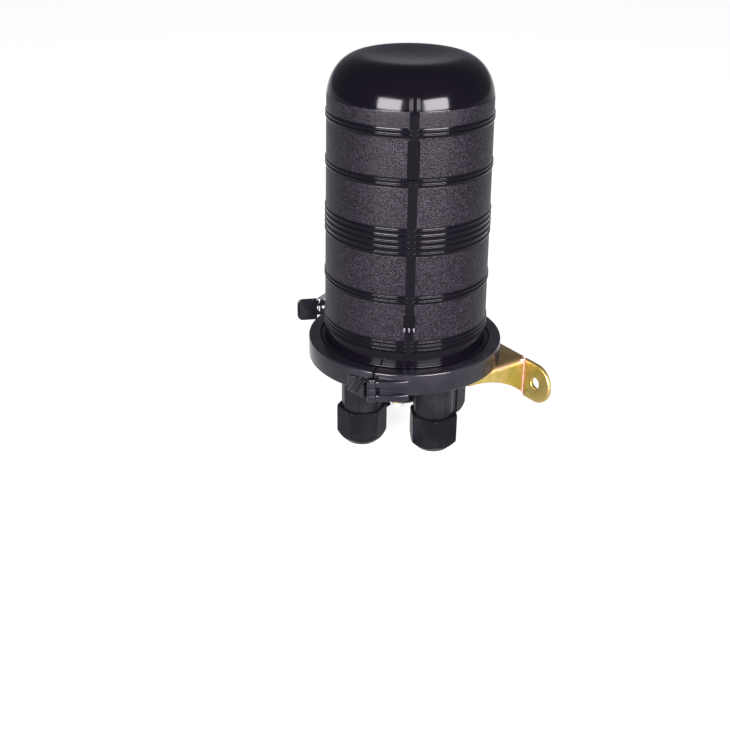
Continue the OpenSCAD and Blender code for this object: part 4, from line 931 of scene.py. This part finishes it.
def soft_light(name, place, aim, size, power, colour):
    """Softbox at place, turned to face aim, with its long side level."""
    data = bpy.data.lights.new(name, "AREA")
    data.shape, data.size, data.size_y, data.energy, data.color = "RECTANGLE", size[0], size[1], power, colour
    lamp = bpy.data.objects.new(name, data)
    place, aim = np.array(place, float), np.array(aim, float)
    back = unit(place - aim)
    side = unit(np.cross((0, 0, 1), back))
    m = frame_at(place, side, np.cross(back, side))
    lamp.matrix_world = Matrix(m.tolist())
    bpy.context.scene.collection.objects.link(lamp)


def camera_at(pitch, yaw, roll, turn, away, rise, focal_px):
    """Camera in the photograph's place: it looks at the dome's axis from away and rise (m) above the hoop,
    pitched down, yawed and rolled (radians); then all turns by turn (degrees) about the axis."""
    right = np.array([np.cos(yaw), np.sin(yaw), 0])
    ahead = np.array([-np.sin(yaw) * np.cos(pitch), np.cos(yaw) * np.cos(pitch), -np.sin(pitch)])
    up = np.array([-np.sin(yaw) * np.sin(pitch), np.cos(yaw) * np.sin(pitch), np.cos(pitch)])
    c, s = np.cos(roll), np.sin(roll)
    right, up = c * right + s * up, -s * right + c * up
    spin = turn_z(turn)[:3, :3]
    centre = np.array([-WALL_X, 0, HOOP_TOP - UNDER_NUTS]) * 0.001
    place = centre + spin @ np.array([0, -away, rise])
    m = np.eye(4)
    m[:3, 0], m[:3, 1], m[:3, 2], m[:3, 3] = spin @ right, spin @ up, -(spin @ ahead), place
    data = bpy.data.cameras.new("camera")
    data.sensor_width, data.lens, data.clip_start = 36.0, focal_px / 730 * 36, 0.05
    cam = bpy.data.objects.new("camera", data)
    cam.matrix_world = Matrix(m.tolist())
    bpy.context.scene.collection.objects.link(cam)
    bpy.context.scene.camera = cam


def around(turn, away, z):
    """A point at an angle round the dome's axis, in metres."""
    a = np.radians(turn)
    return (AXIS_X + away * np.cos(a), away * np.sin(a), z)


# The dome's axis and top in the part's frame, and the angle that puts the seen side in front of the camera
AXIS_X, TOP, VIEW_TURN = -0.075, (297.5 - UNDER_NUTS) * 0.001, -37

make_floor()
for name, turn in (("left_box", -118), ("right_box", -55)):
    soft_light(name, around(turn + VIEW_TURN, 1.6, TOP + 0.34), (AXIS_X, 0, TOP - 0.02), size=(0.92, 0.63),
               power=205, colour=(1.0, 0.955, 0.99))
world = bpy.data.worlds.new("studio")
bpy.context.scene.world = world
world.use_nodes = True
sky = world.node_tree.nodes["Background"]
sky.inputs["Color"].default_value = (0.88, 0.86, 1.0, 1)
sky.inputs["Strength"].default_value = 0.36
bpy.context.scene.view_settings.view_transform = "Standard"
# away and rise were fitted in hoop radii of 0.075 m
camera_at(pitch=0.46264, yaw=0.03663, roll=0.00906, turn=VIEW_TURN, away=11.23958 * 0.075, rise=5.21031 * 0.075,
          focal_px=1181.96)
